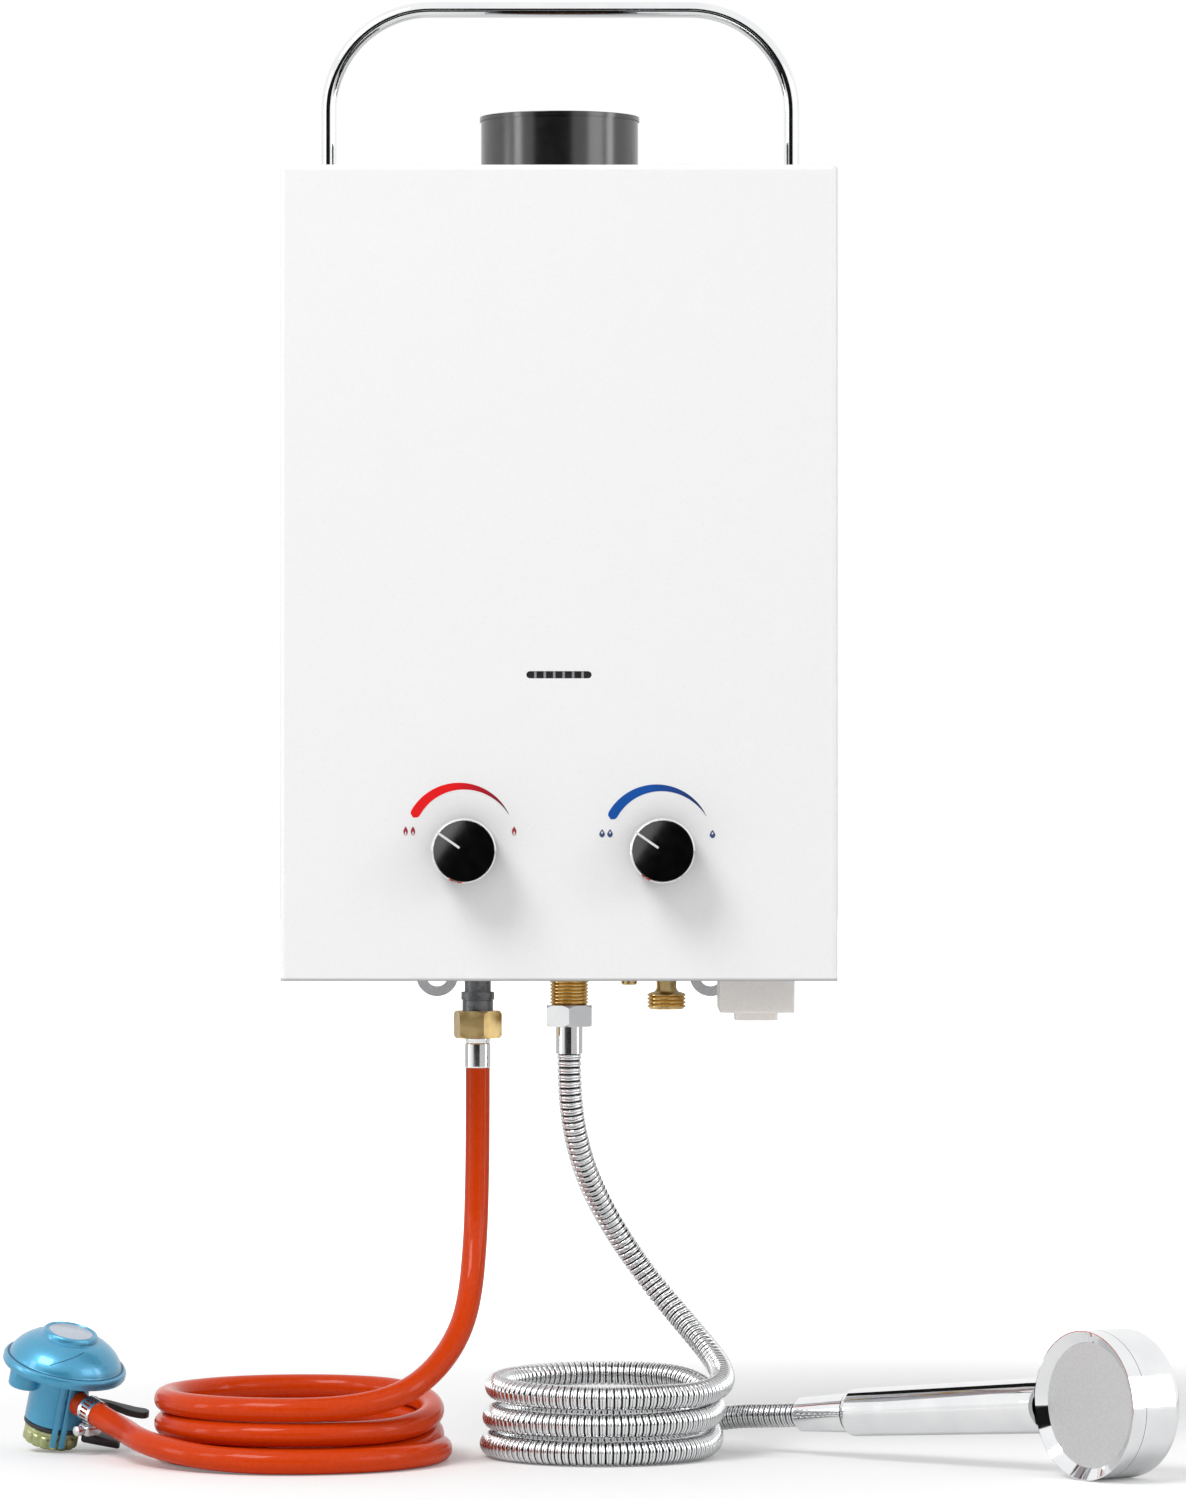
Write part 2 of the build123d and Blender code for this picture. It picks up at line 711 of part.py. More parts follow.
# ---------------------------------------------------------------- valves
boss_end = valve_front - valve_boss
with BuildPart() as gas_valve_body:
    with BuildSketch(Plane.XY.offset(valve_bottom)):
        with Locations((gas_knob_x, valve_y)):
            Rectangle(valve_width, valve_depth)
    extrude(amount=valve_height)
    fillet(gas_valve_body.edges().filter_by(Axis.Z), radius=valve_boss_radius / 3)
    with BuildSketch(Plane.XY.offset(valve_top)):
        with Locations((gas_knob_x, manifold_y + manifold_size / 2)):
            Circle(0.8 * manifold_size)
    extrude(amount=-valve_height / 2)
    with BuildSketch(Plane.XZ.offset(-valve_front)):
        with Locations((gas_knob_x, knob_z)):
            Circle(valve_boss_radius)
    extrude(amount=valve_boss)
    with BuildSketch(Plane.XZ.offset(-boss_end)):
        with Locations((gas_knob_x, knob_z)):
            Circle(spindle_radius + fit_gap)
    extrude(amount=-spindle_depth, mode=Mode.SUBTRACT)
save(gas_valve_body.part, "gas_valve_body")

with BuildPart() as gas_solenoid:
    with BuildSketch(Plane.YZ.offset(gas_knob_x - valve_width / 2 - solenoid_length)):
        with Locations((valve_y, knob_z)):
            Circle(solenoid_radius)
    extrude(amount=solenoid_length)
    chamfer(gas_solenoid.edges().sort_by(Axis.X)[0], length=solenoid_radius / 8)
save(gas_solenoid.part, "gas_solenoid")

diaphragm_face = water_knob_x - valve_width / 2 - diaphragm_flange
with BuildPart() as water_valve_body:
    with BuildSketch(Plane.XY.offset(valve_bottom)):
        with Locations((water_knob_x, valve_y)):
            Rectangle(valve_width, valve_depth)
    extrude(amount=valve_height)
    fillet(water_valve_body.edges().filter_by(Axis.Z), radius=valve_boss_radius / 3)
    with BuildSketch(Plane.YZ.offset(diaphragm_face)):
        with Locations((valve_y, knob_z)):
            Circle(diaphragm_radius)
    extrude(amount=diaphragm_flange)
    with BuildSketch(Plane.XZ.offset(-valve_front)):
        with Locations((water_knob_x, knob_z)):
            Circle(valve_boss_radius)
    extrude(amount=valve_boss)
    with BuildSketch(Plane.XZ.offset(-boss_end)):
        with Locations((water_knob_x, knob_z)):
            Circle(spindle_radius + fit_gap)
    extrude(amount=-spindle_depth, mode=Mode.SUBTRACT)
save(water_valve_body.part, "water_valve_body")

cover_end = diaphragm_face - diaphragm_cover
with BuildPart() as water_valve_cover:
    with BuildSketch(Plane.YZ.offset(cover_end)):
        with Locations((valve_y, knob_z)):
            Circle(diaphragm_radius)
    extrude(amount=diaphragm_cover)
    fillet(water_valve_cover.edges().sort_by(Axis.X)[0], radius=diaphragm_cover / 2)
    with BuildSketch(Plane.YZ.offset(cover_end)):
        with Locations((valve_y, knob_z)):
            Circle(rod_radius + fit_gap)
    extrude(amount=diaphragm_cover, mode=Mode.SUBTRACT)
save(water_valve_cover.part, "water_valve_cover")

rod_end = cover_end - rod_reach
with BuildPart() as water_valve_rod:
    with BuildSketch(Plane.YZ.offset(rod_end)):
        with Locations((valve_y, knob_z)):
            Circle(rod_radius)
    extrude(amount=diaphragm_face - slip_gap - rod_end)
    with BuildSketch(Plane.YZ.offset(rod_end)):
        with Locations((valve_y, knob_z)):
            Circle(rod_foot_radius)
    extrude(amount=rod_foot)
save(water_valve_rod.part, "water_valve_rod")

switch_side = gas_knob_x + valve_width / 2
with BuildPart() as microswitch:
    with BuildSketch(Plane.YZ.offset(switch_side)):
        with Locations((valve_y, knob_z)):
            RectangleRounded(switch_depth, switch_height, switch_button_radius)
    extrude(amount=switch_width)
    with BuildSketch(Plane.YZ.offset(switch_side)):
        with Locations((valve_y, knob_z)):
            Circle(switch_button_radius)
    extrude(amount=rod_end - rod_travel - slip_gap - switch_side)
save(microswitch.part, "microswitch")

# ---------------------------------------------------------------- pipe fittings
with BuildPart() as gas_inlet:
    with BuildSketch(Plane.XY.offset(valve_bottom)):
        with Locations((gas_inlet_x, core_y)):
            Circle(gas_neck_radius)
    extrude(amount=case_bottom - gas_nut_drop - valve_bottom)
    with BuildSketch(Plane.XY.offset(case_bottom - gas_neck_drop)):
        with Locations((gas_inlet_x, core_y)):
            Circle(gas_collar_radius)
    extrude(amount=gas_neck_drop - gas_collar_drop)
    with BuildSketch(Plane.XY.offset(case_bottom - gas_collar_drop - slip_gap)):
        with Locations((gas_inlet_x, core_y)):
            Circle(gas_thread_radius)
    extrude(amount=gas_collar_drop + slip_gap - gas_nut_drop - gas_thread_length)
    chamfer(gas_inlet.edges().sort_by(Axis.Z)[0], length=gas_thread_radius / 8)
save(gas_inlet.part, "gas_inlet")

with BuildPart() as hot_outlet:
    with BuildSketch(Plane.XY.offset(plate_top)):
        with Locations((hot_outlet_x, core_y)):
            RectangleRounded(elbow_width, elbow_width, elbow_width / 6)
    extrude(amount=elbow_height)
    with BuildSketch(Plane.XY.offset(plate_top)):
        with Locations((hot_outlet_x, core_y)):
            Circle(pipe_thread_radius)
    extrude(amount=case_bottom - hot_nut_end + bracket_sheet - plate_top)
    chamfer(hot_outlet.edges().sort_by(Axis.Z)[0], length=pipe_thread_radius / 10)
save(hot_outlet.part, "hot_outlet")

with BuildPart() as cold_inlet:
    with BuildSketch(Plane.XY.offset(valve_bottom)):
        with Locations((cold_inlet_x, core_y)):
            Circle(cold_neck_radius)
    extrude(amount=case_bottom - cold_thread_end - valve_bottom)
    with BuildSketch(Plane.XY.offset(case_bottom - cold_thread_drop)):
        with Locations((cold_inlet_x, core_y)):
            Circle(pipe_thread_radius)
    extrude(amount=cold_thread_drop - cold_thread_end)
save(cold_inlet.part, "cold_inlet")

with BuildPart() as drain_plug:
    with BuildSketch(Plane.XY.offset(valve_bottom)):
        with Locations((drain_x, core_y)):
            Circle(drain_radius)
    extrude(amount=case_bottom - drain_end - valve_bottom)
    chamfer(drain_plug.edges().sort_by(Axis.Z)[0], length=drain_radius / 6)
save(drain_plug.part, "drain_plug")


def bent_pipe(points):
    """A pipe along straight runs and tangent arcs."""
    with BuildPart() as pipe:
        with BuildLine() as path:
            FilletPolyline(*points, radius=2 * pipe_radius)
        with BuildSketch(Plane(path.line @ 0, z_dir=path.line % 0)):
            Circle(pipe_radius)
            Circle(pipe_radius - pipe_wall, mode=Mode.SUBTRACT)
        sweep()
    return pipe.part


side_x = pipe_end_x + side_pipe_gap
cold_pipe = bent_pipe([
    (pipe_end_x, pass_ys[0], pass_z),
    (side_x, pass_ys[0], pass_z),
    (side_x, pass_ys[0], valve_top + 4 * pipe_radius),
    (water_knob_x, valve_y, valve_top + 4 * pipe_radius),
    (water_knob_x, valve_y, valve_top),
])
save(cold_pipe, "cold_pipe")

elbow_z = plate_top + elbow_height / 2
hot_pipe = bent_pipe([
    (-pipe_end_x, pass_ys[2], pass_z),
    (-side_x, pass_ys[2], pass_z),
    (-side_x, pass_ys[2], elbow_z + 6 * pipe_radius),
    (hot_outlet_x, core_y + 5 * pipe_radius, elbow_z),
    (hot_outlet_x, core_y + elbow_width / 2, elbow_z),
])
save(hot_pipe, "hot_pipe")

# ---------------------------------------------------------------- knobs and window
def knob_spindle(knob_x, name):
    """The spindle from the valve to inside the knob."""
    with BuildPart() as spindle:
        with BuildSketch(Plane.XZ.offset(-boss_end - spindle_depth + slip_gap)):
            with Locations((knob_x, knob_z)):
                Circle(spindle_radius)
        extrude(amount=boss_end + spindle_depth - slip_gap - (case_front - knob_gap - knob_socket))
    save(spindle.part, name)


def knob_body(knob_x, name):
    """A round knob with a socket for its spindle and a groove for its pointer."""
    with BuildPart() as knob:
        face_radius = knob_radius - knob_ring_wall
        with BuildSketch(Plane.XZ.offset(-case_front + knob_gap)):
            with Locations((knob_x, knob_z)):
                Circle(knob_radius)
        extrude(amount=knob_height - knob_ring_height)
        with BuildSketch(Plane.XZ.offset(-case_front + knob_gap)):
            with Locations((knob_x, knob_z)):
                Circle(face_radius)
        extrude(amount=knob_height)
        chamfer(knob.edges().filter_by(GeomType.CIRCLE).sort_by(Axis.Y)[-1], length=knob_ring_wall / 2)
        with BuildSketch(Plane.XZ.offset(-case_front + knob_gap)):
            with Locations((knob_x, knob_z)):
                Circle(spindle_radius + fit_gap)
        extrude(amount=knob_socket, mode=Mode.SUBTRACT)
        with BuildSketch(Plane.XZ.offset(-case_front + knob_gap + knob_height)):
            with Locations(Location((knob_x, knob_z), pointer_angle)):
                with Locations((face_radius - pointer_length / 2, 0)):
                    Rectangle(pointer_length, pointer_width)
        extrude(amount=-pointer_depth, mode=Mode.SUBTRACT)
    save(knob.part, name)


def knob_ring(knob_x, name):
    """The bright ring pressed round the front of a knob."""
    with BuildPart() as ring:
        with BuildSketch(Plane.XZ.offset(-case_front + knob_gap + knob_height - knob_ring_height)):
            with Locations((knob_x, knob_z)):
                Circle(knob_radius)
        extrude(amount=knob_ring_height)
        chamfer(ring.edges().sort_by(Axis.Y)[0], length=0.6 * knob_ring_wall)
        with BuildSketch(Plane.XZ.offset(-case_front + knob_gap + knob_height)):
            with Locations((knob_x, knob_z)):
                Circle(knob_radius - knob_ring_wall + fit_gap)
        extrude(amount=-knob_ring_height, mode=Mode.SUBTRACT)
    save(ring.part, name)


for control, control_x in (("gas", gas_knob_x), ("water", water_knob_x)):
    knob_spindle(control_x, f"{control}_spindle")
    knob_body(control_x, f"{control}_knob")
    knob_ring(control_x, f"{control}_knob_ring")

with BuildPart() as viewing_window:
    with BuildSketch(Plane.XZ.offset(-cover_face)):
        with Locations((0, slot_z)):
            RectangleRounded(slot_width + 2 * window_margin, slot_height + 2 * window_margin, slot_height / 2)
    extrude(amount=-window_thickness)
    with BuildSketch(Plane.XZ.offset(-cover_face)):
        with Locations((0, slot_z)):
            with GridLocations(slot_rib_pitch, 0, slot_ribs, 1):
                Rectangle(slot_rib_width, slot_height - 2 * fit_gap)
    extrude(amount=cover_sheet / 2)
save(viewing_window.part, "viewing_window")

# ---------------------------------------------------------------- ignition and batteries
with BuildPart() as ignition_box:
    with BuildSketch(Plane.XZ.offset(-panel_face)):
        with Locations((case_width / 2 - box_side - box_width / 2, case_bottom + box_rise + box_height / 2)):
            Rectangle(box_width, box_height)
    extrude(amount=box_depth)
    fillet(ignition_box.edges().filter_by(Axis.Y), radius=box_width / 15)
save(ignition_box.part, "ignition_box")

tray_floor = case_bottom + panel_sheet
tray_top = tray_floor + cell_length + 2 * cell_gap
cell_ys = (core_y - cell_radius - cell_gap - tray_rib / 2, core_y + cell_radius + cell_gap + tray_rib / 2)
with BuildPart() as battery_tray:
    with BuildSketch(Plane.XY.offset(case_bottom - tray_drop)):
        with Locations((battery_x, core_y)):
            Rectangle(tray_width, tray_depth)
    extrude(amount=tray_drop + tray_top - case_bottom)
    fillet(battery_tray.edges().filter_by(Axis.Z), radius=tray_rib / 2)
    fillet(battery_tray.edges().group_by(Axis.Z)[0], radius=tray_rib / 2)
    with BuildSketch(Plane.XY.offset(tray_floor)):
        with Locations(*[(battery_x, cell_y) for cell_y in cell_ys]):
            Circle(cell_radius + cell_gap)
    extrude(amount=tray_top - tray_floor, mode=Mode.SUBTRACT)
    with BuildSketch(Plane.XY.offset(case_bottom - tray_drop)):
        with Locations((battery_x, core_y)):
            RectangleRounded(tray_grip_width, tray_grip_depth, tray_rib)
    extrude(amount=tray_drop - tray_grip_drop)
save(battery_tray.part, "battery_tray")

with BuildPart() as battery_cells:
    for cell_y in cell_ys:
        with BuildSketch(Plane.XY.offset(tray_floor)):
            with Locations((battery_x, cell_y)):
                Circle(cell_radius)
        extrude(amount=cell_length - tray_rib)
        with BuildSketch(Plane.XY.offset(tray_floor + cell_length - tray_rib)):
            with Locations((battery_x, cell_y)):
                Circle(cell_radius / 4)
        extrude(amount=tray_rib)
save(battery_cells.part, "battery_cells")

with BuildPart() as battery_holder:
    hollow_width = tray_width + 2 * slip_gap
    hollow_depth = tray_depth + 2 * slip_gap
    holder_top = tray_top + slip_gap + holder_roof
    with BuildSketch(Plane.XY.offset(plate_top)):
        with Locations((battery_x, core_y)):
            Rectangle(hollow_width + 2 * holder_wall, hollow_depth + 2 * holder_wall)
    extrude(amount=holder_top - plate_top)
    with BuildSketch(Plane.XY.offset(plate_top)):
        with Locations((battery_x, core_y)):
            Rectangle(hollow_width, hollow_depth)
    extrude(amount=holder_top - holder_roof - plate_top, mode=Mode.SUBTRACT)
save(battery_holder.part, "battery_holder")

# ---------------------------------------------------------------- hose nuts
with BuildPart() as gas_hose_nut:
    nut_length = gas_nut_end - gas_nut_drop
    with BuildSketch(Plane.XY.offset(case_bottom - gas_nut_end)):
        with Locations((gas_inlet_x, core_y)):
            Circle(gas_nut_width / sqrt(3))
    extrude(amount=nut_length)
    chamfer(gas_hose_nut.edges().filter_by(GeomType.CIRCLE), length=nut_bevel)
    with BuildSketch(Plane.XY.offset(case_bottom - gas_nut_end)):
        with Locations((gas_inlet_x, core_y)):
            RegularPolygon(gas_nut_width / 2, 6, major_radius=False, rotation=30 + gas_nut_turn)
    extrude(amount=nut_length, mode=Mode.INTERSECT)
    with BuildSketch(Plane.XY.offset(case_bottom - gas_nut_drop)):
        with Locations((gas_inlet_x, core_y)):
            Circle(gas_thread_radius + fit_gap)
    extrude(amount=-gas_thread_length, mode=Mode.SUBTRACT)
save(gas_hose_nut.part, "gas_hose_nut")

with BuildPart() as gas_hose_ferrule:
    with BuildSketch(Plane.XY.offset(case_bottom - gas_nut_end)):
        with Locations((gas_inlet_x, core_y)):
            Circle(ferrule_radius)
    extrude(amount=gas_nut_end - ferrule_end)
    fillet(gas_hose_ferrule.edges().filter_by(GeomType.CIRCLE), radius=ferrule_radius / 8)
save(gas_hose_ferrule.part, "gas_hose_ferrule")

with BuildPart() as shower_hose_nut:
    nut_length = hot_nut_end - hot_nut_drop
    with BuildSketch(Plane.XY.offset(case_bottom - hot_nut_end)):
        with Locations((hot_outlet_x, core_y)):
            Circle(hot_nut_width / sqrt(3))
    extrude(amount=nut_length)
    chamfer(shower_hose_nut.edges().filter_by(GeomType.CIRCLE), length=nut_bevel)
    with BuildSketch(Plane.XY.offset(case_bottom - hot_nut_end)):
        with Locations((hot_outlet_x, core_y)):
            RegularPolygon(hot_nut_width / 2, 6, major_radius=False, rotation=30)
    extrude(amount=nut_length, mode=Mode.INTERSECT)
    with BuildSketch(Plane.XY.offset(case_bottom - hot_nut_end)):
        with Locations((hot_outlet_x, core_y)):
            Circle(hot_sleeve_radius)
    extrude(amount=hot_nut_end - hot_sleeve_end)
    with BuildSketch(Plane.XY.offset(case_bottom - hot_nut_drop)):
        with Locations((hot_outlet_x, core_y)):
            Circle(pipe_thread_radius + fit_gap)
    extrude(amount=bracket_sheet - nut_length, mode=Mode.SUBTRACT)
save(shower_hose_nut.part, "shower_hose_nut")


# ---------------------------------------------------------------- hoses
def hose_run(points, diameter, name):
    """The uncoiled part of a hose: straight runs and tangent arcs."""
    radii = bend_radii(points)
    with BuildPart() as tube:
        with BuildLine() as path:
            FilletPolyline(*points, radius=radii)
        with BuildSketch(Plane(path.line @ 0, z_dir=path.line % 0)):
            Circle(diameter / 2)
        sweep()
    swept = pi * diameter**2 / 4 * sum(edge.length for edge in path.edges())
    tightest = min(radii) / diameter
    print(f"{name}: tightest bend {tightest:.1f} diameters, radii {[round(radius) for radius in radii]}")
    print(f"{name}: volume over section times length {tube.part.volume / swept:.4f}")
    save(tube.part, name)


def hose_coil(centre_x, centre_y, radius, diameter, turns, name):
    """The outer shape of neatly stacked turns."""
    with BuildPart() as coil:
        with BuildSketch(Plane.XY.offset(ground)):
            with Locations((centre_x, centre_y)):
                Circle(radius)
                Circle(radius - diameter, mode=Mode.SUBTRACT)
        extrude(amount=turns * diameter)
        fillet(coil.edges(), radius=0.45 * diameter)
    save(coil.part, name)


hose_run(
    [
        (gas_inlet_x, core_y, case_bottom - ferrule_end),
        (gas_inlet_x, core_y, ground + 168.6),
        (-44.8, -73, ground + 128.6),
        (-45.9, -80, ground + 107.6),
        (-47.5, -91, ground + 89.6),
        (-50.9, -105, ground + 73.6),
        (-58.0, -120, ground + 59.6),
        (-67.8, -136, ground + 48.6),
        (-79.5, -151, ground + 40.6),
        (-95.5, -163, ground + 35.6),
        (-115.5, -170.5, ground + 33),
        (-139, -173, ground + 32.5),
    ],
    gas_hose_diameter,
    "gas_hose_drop",
)
hose_run(
    [
        (-65.9, -88.1, ground + 6.5),
        (-62.1, -116.7, ground + 6.5),
        (-69.9, -145.9, ground + 6.5),
        (-89.6, -170.0, ground + 6.5),
        (-113.0, -182.1, ground + 6.5),
        (-138.4, -186.9, ground + 6.5),
        (-161.5, -184.8, ground + 6.7),
        (-185.0, -174.5, ground + 7.8),
        (-206.0, -157.5, ground + 10.2),
        (-222.5, -136.5, ground + 13.4),
        (-231.5, -109.5, ground + 15.8),
        tuple(nozzle_bend),
        tuple(nozzle_end),
    ],
    gas_hose_diameter,
    "gas_hose_tail",
)
hose_coil(gas_coil_x, gas_coil_y, gas_coil_radius, gas_hose_diameter, gas_coil_turns, "gas_hose_coil")

hose_run(
    [
        (hot_outlet_x, core_y, case_bottom - hot_sleeve_end),
        (hot_outlet_x, core_y, case_bottom - hot_sleeve_end - 18.6),
        (7.8, -64.5, ground + 173.5),
        (13.1, -52.6, ground + 152.5),
        (21.1, -36.2, ground + 133.2),
        (32.1, -24.6, ground + 113.6),
        (45.7, -20.0, ground + 93.8),
        (60.4, -23.4, ground + 75.6),
        (73.1, -33.2, ground + 61.4),
        (82.7, -47.8, ground + 50.8),
        (87.8, -66.2, ground + 43.6),
        (87.5, -86.2, ground + 39.2),
        (82.0, -104.5, ground + 36.9),
        (72.4, -119.9, ground + 35.7),
        (58.9, -132.1, ground + 34.9),
        (42.3, -139.9, ground + 34.2),
        (24, -142.45, ground + 33.75),
    ],
    shower_hose_diameter,
    "shower_hose_drop",
)
hose_run(
    [
        (16, -26, ground + 6.75),
        (37, -25.3, ground + 6.75),
        (57.5, -30, ground + 8.5),
        (77, -41, ground + 13),
        (95.5, -56.5, ground + 18),
        (114.5, -72, ground + 20.3),
        shower_cone_point,
    ],
    shower_hose_diameter,
    "shower_hose_tail",
)
hose_coil(
    shower_coil_x,
    shower_coil_y,
    shower_coil_radius,
    shower_hose_diameter,
    shower_coil_turns,
    "shower_hose_coil",
)

# ---------------------------------------------------------------- gas regulator
with BuildPart() as regulator_coupling:
    with BuildSketch(regulator_plane):
        Circle(coupling_radius)
    extrude(amount=coupling_height)
    with BuildSketch(regulator_plane):
        Circle(coupling_bore_radius)
    extrude(amount=coupling_bore_depth, mode=Mode.SUBTRACT)
save(regulator_coupling.part, "regulator_coupling")

with BuildPart() as regulator_body:
    # the spigot that the switch ring turns on, and the neck above it
    with BuildSketch(regulator_plane.offset(coupling_height)):
        Circle(regulator_spigot_radius)
    extrude(amount=regulator_neck_height)
    with BuildSketch(regulator_plane.offset(ring_end + slip_gap)):
        Circle(regulator_neck_radius)
    extrude(amount=neck_end - ring_end - slip_gap)
    with BuildSketch(regulator_plane.offset(neck_end)):
        Circle(regulator_neck_radius)
    with BuildSketch(regulator_plane.offset(bonnet_z)):
        Circle(regulator_flange_radius)
    loft()
    with BuildSketch(nozzle_plane):
        Circle(nozzle_boss_radius)
    extrude(amount=nozzle_reach)
save(regulator_body.part, "regulator_body")

with BuildPart() as regulator_bonnet:
    with BuildSketch(regulator_plane.offset(bonnet_z)):
        Circle(regulator_rim_radius)
    extrude(amount=regulator_rim_height)
    fillet(regulator_bonnet.edges(), radius=regulator_rim_height / 3)
    with BuildSketch(regulator_plane.offset(rim_top)):
        Circle(regulator_flange_radius - regulator_rim_height / 3)
    with BuildSketch(regulator_plane.offset(dome_waist)):
        Circle(dome_waist_radius)
    loft()
    with BuildSketch(regulator_plane.offset(dome_waist)):
        Circle(dome_waist_radius)
    with BuildSketch(regulator_plane.offset(dome_top)):
        Circle(dome_top_radius)
    loft()
    with BuildSketch(regulator_plane.offset(dome_top)):
        Circle(dome_cap_radius)
    extrude(amount=dome_cap_height)
save(regulator_bonnet.part, "regulator_bonnet")

with BuildPart() as hose_clamp:
    band_radius = gas_hose_diameter / 2 + fit_gap
    clamp_start = nozzle_reach + clamp_inset
    with BuildSketch(nozzle_plane.offset(clamp_start)):
        Circle(band_radius + clamp_band)
        # the screw housing under the hose
        with Locations((-band_radius - clamp_box_height / 2, 0)):
            Rectangle(clamp_box_height, clamp_box_length)
        Circle(band_radius, mode=Mode.SUBTRACT)
    extrude(amount=clamp_width)
save(hose_clamp.part, "hose_clamp")

with BuildPart() as regulator_lever:
    block_reach = regulator_neck_radius + slip_gap + lever_side
    with BuildSketch(regulator_plane.offset(ring_end - lever_ring_height)):
        Circle(regulator_neck_radius)
    extrude(amount=lever_ring_height)
    # the block beside the neck, with the arm at its top and the foot below
    with BuildSketch(regulator_plane.offset(lever_lift)):
        with Locations((block_reach / 2, 0)):
            Rectangle(block_reach, lever_block_width)
    extrude(amount=lever_top - lever_lift)
    with BuildSketch(regulator_plane.offset(lever_top)):
        with Locations((lever_reach / 2, 0)):
            SlotOverall(lever_reach, lever_width)
    extrude(amount=-lever_thickness)
    with BuildSketch(regulator_plane.offset(lever_lift)):
        with Locations((lever_foot_reach / 2, 0)):
            RectangleRounded(lever_foot_reach, lever_foot_width, lever_foot_corner)
    extrude(amount=lever_foot_height)
    # room for the coupling, the spigot and the neck
    with BuildSketch(regulator_plane):
        Circle(regulator_neck_radius + slip_gap)
    extrude(amount=ring_end - lever_ring_height, mode=Mode.SUBTRACT)
    with BuildSketch(regulator_plane):
        Circle(regulator_spigot_radius + fit_gap)
    extrude(amount=neck_end, mode=Mode.SUBTRACT)
    with BuildSketch(regulator_plane.offset(ring_end)):
        Circle(regulator_neck_radius + slip_gap)
    extrude(amount=neck_end - ring_end, mode=Mode.SUBTRACT)
save(regulator_lever.part, "regulator_lever")

# ---------------------------------------------------------------- hand shower
with BuildPart() as shower_hose_cone:
    with BuildSketch(shower_plane):
        Circle(cone_small_radius)
    with BuildSketch(shower_plane.offset(cone_length)):
        Circle(cone_large_radius)
    loft()
save(shower_hose_cone.part, "shower_hose_cone")

with BuildPart() as shower_handle:
    with BuildSketch(shower_plane.offset(cone_length)):
        Circle(shower_grip_radius)
    with BuildSketch(shower_plane.offset(grip_end)):
        Circle(shower_neck_radius)
    loft()
    fillet(shower_handle.edges().sort_by(Axis.X)[0], radius=grip_end_round)
    with BuildSketch(shower_plane.offset(grip_end)):
        Circle(shower_neck_radius)
    extrude(amount=shower_reach)
    # the water way
    with BuildSketch(shower_plane.offset(cone_length + shower_wall)):
        Circle(shower_grip_radius - shower_wall)
    with BuildSketch(shower_plane.offset(grip_end)):
        Circle(shower_neck_radius - shower_wall)
    loft(mode=Mode.SUBTRACT)
    with BuildSketch(shower_plane.offset(grip_end)):
        Circle(shower_neck_radius - shower_wall)
    extrude(amount=shower_reach, mode=Mode.SUBTRACT)
    # cut to the side of the head, with room for the turning ring
    with BuildSketch(head_plane.offset(-shower_head_depth)):
        Circle(shower_head_radius)
    extrude(amount=shower_head_depth, mode=Mode.SUBTRACT)
    with BuildSketch(head_plane.offset(-shower_ring_depth - slip_gap)):
        Circle(shower_head_radius + slip_gap)
    extrude(amount=shower_head_depth, mode=Mode.SUBTRACT)
save(shower_handle.part, "shower_handle")

plate_back = shower_plate_inset + shower_plate_depth
with BuildPart() as shower_head:
    with BuildSketch(head_plane.offset(-shower_head_depth)):
        Circle(shower_head_radius)
    extrude(amount=shower_head_depth - shower_ring_depth - slip_gap)
    round_edges = shower_head.edges().filter_by(GeomType.CIRCLE)
    back_edge = round_edges.sort_by(Axis(head_plane.origin, head_plane.z_dir))[0]
    fillet(back_edge, radius=head_back_round)
    # the water chamber, which opens to the handle
    with BuildSketch(head_plane.offset(shower_wall - shower_head_depth)):
        Circle(shower_head_radius - shower_wall)
    extrude(amount=shower_head_depth - shower_ring_depth - slip_gap - 2 * shower_wall, mode=Mode.SUBTRACT)
    with BuildSketch(shower_plane.offset(grip_end)):
        Circle(shower_water_way)
    extrude(amount=shower_reach, mode=Mode.SUBTRACT)
    # the hub that the face turns on
    with BuildSketch(head_plane.offset(-shower_ring_depth - slip_gap)):
        Circle(shower_hub_radius)
    extrude(amount=shower_ring_depth + slip_gap - plate_back + shower_hub)
save(shower_head.part, "shower_head")

with BuildPart() as shower_face_ring:
    with BuildSketch(head_plane.offset(-shower_ring_depth)):
        Circle(shower_head_radius)
    extrude(amount=shower_ring_depth)
    # the polished bevel slopes in to the plate
    with BuildSketch(head_plane):
        Circle(shower_head_radius - shower_lip)
    with BuildSketch(head_plane.offset(-shower_plate_inset)):
        Circle(shower_plate_radius + fit_gap)
    loft(mode=Mode.SUBTRACT)
    with BuildSketch(head_plane.offset(-plate_back)):
        Circle(shower_plate_radius + fit_gap)
    extrude(amount=plate_back, mode=Mode.SUBTRACT)
    with BuildSketch(head_plane.offset(-shower_ring_depth)):
        Circle(shower_plate_radius - shower_shoulder)
    extrude(amount=shower_ring_depth, mode=Mode.SUBTRACT)
save(shower_face_ring.part, "shower_face_ring")

with BuildPart() as shower_face_plate:
    with BuildSketch(head_plane.offset(-plate_back)):
        Circle(shower_plate_radius)
    extrude(amount=shower_plate_depth)
    with BuildSketch(head_plane.offset(-plate_back)):
        Circle(shower_hub_radius + fit_gap)
    extrude(amount=shower_hub + slip_gap, mode=Mode.SUBTRACT)
save(shower_face_plate.part, "shower_face_plate")
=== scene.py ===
from math import cos, pi, radians, sin, sqrt

import bmesh
import bpy
from mathutils import Matrix, Vector


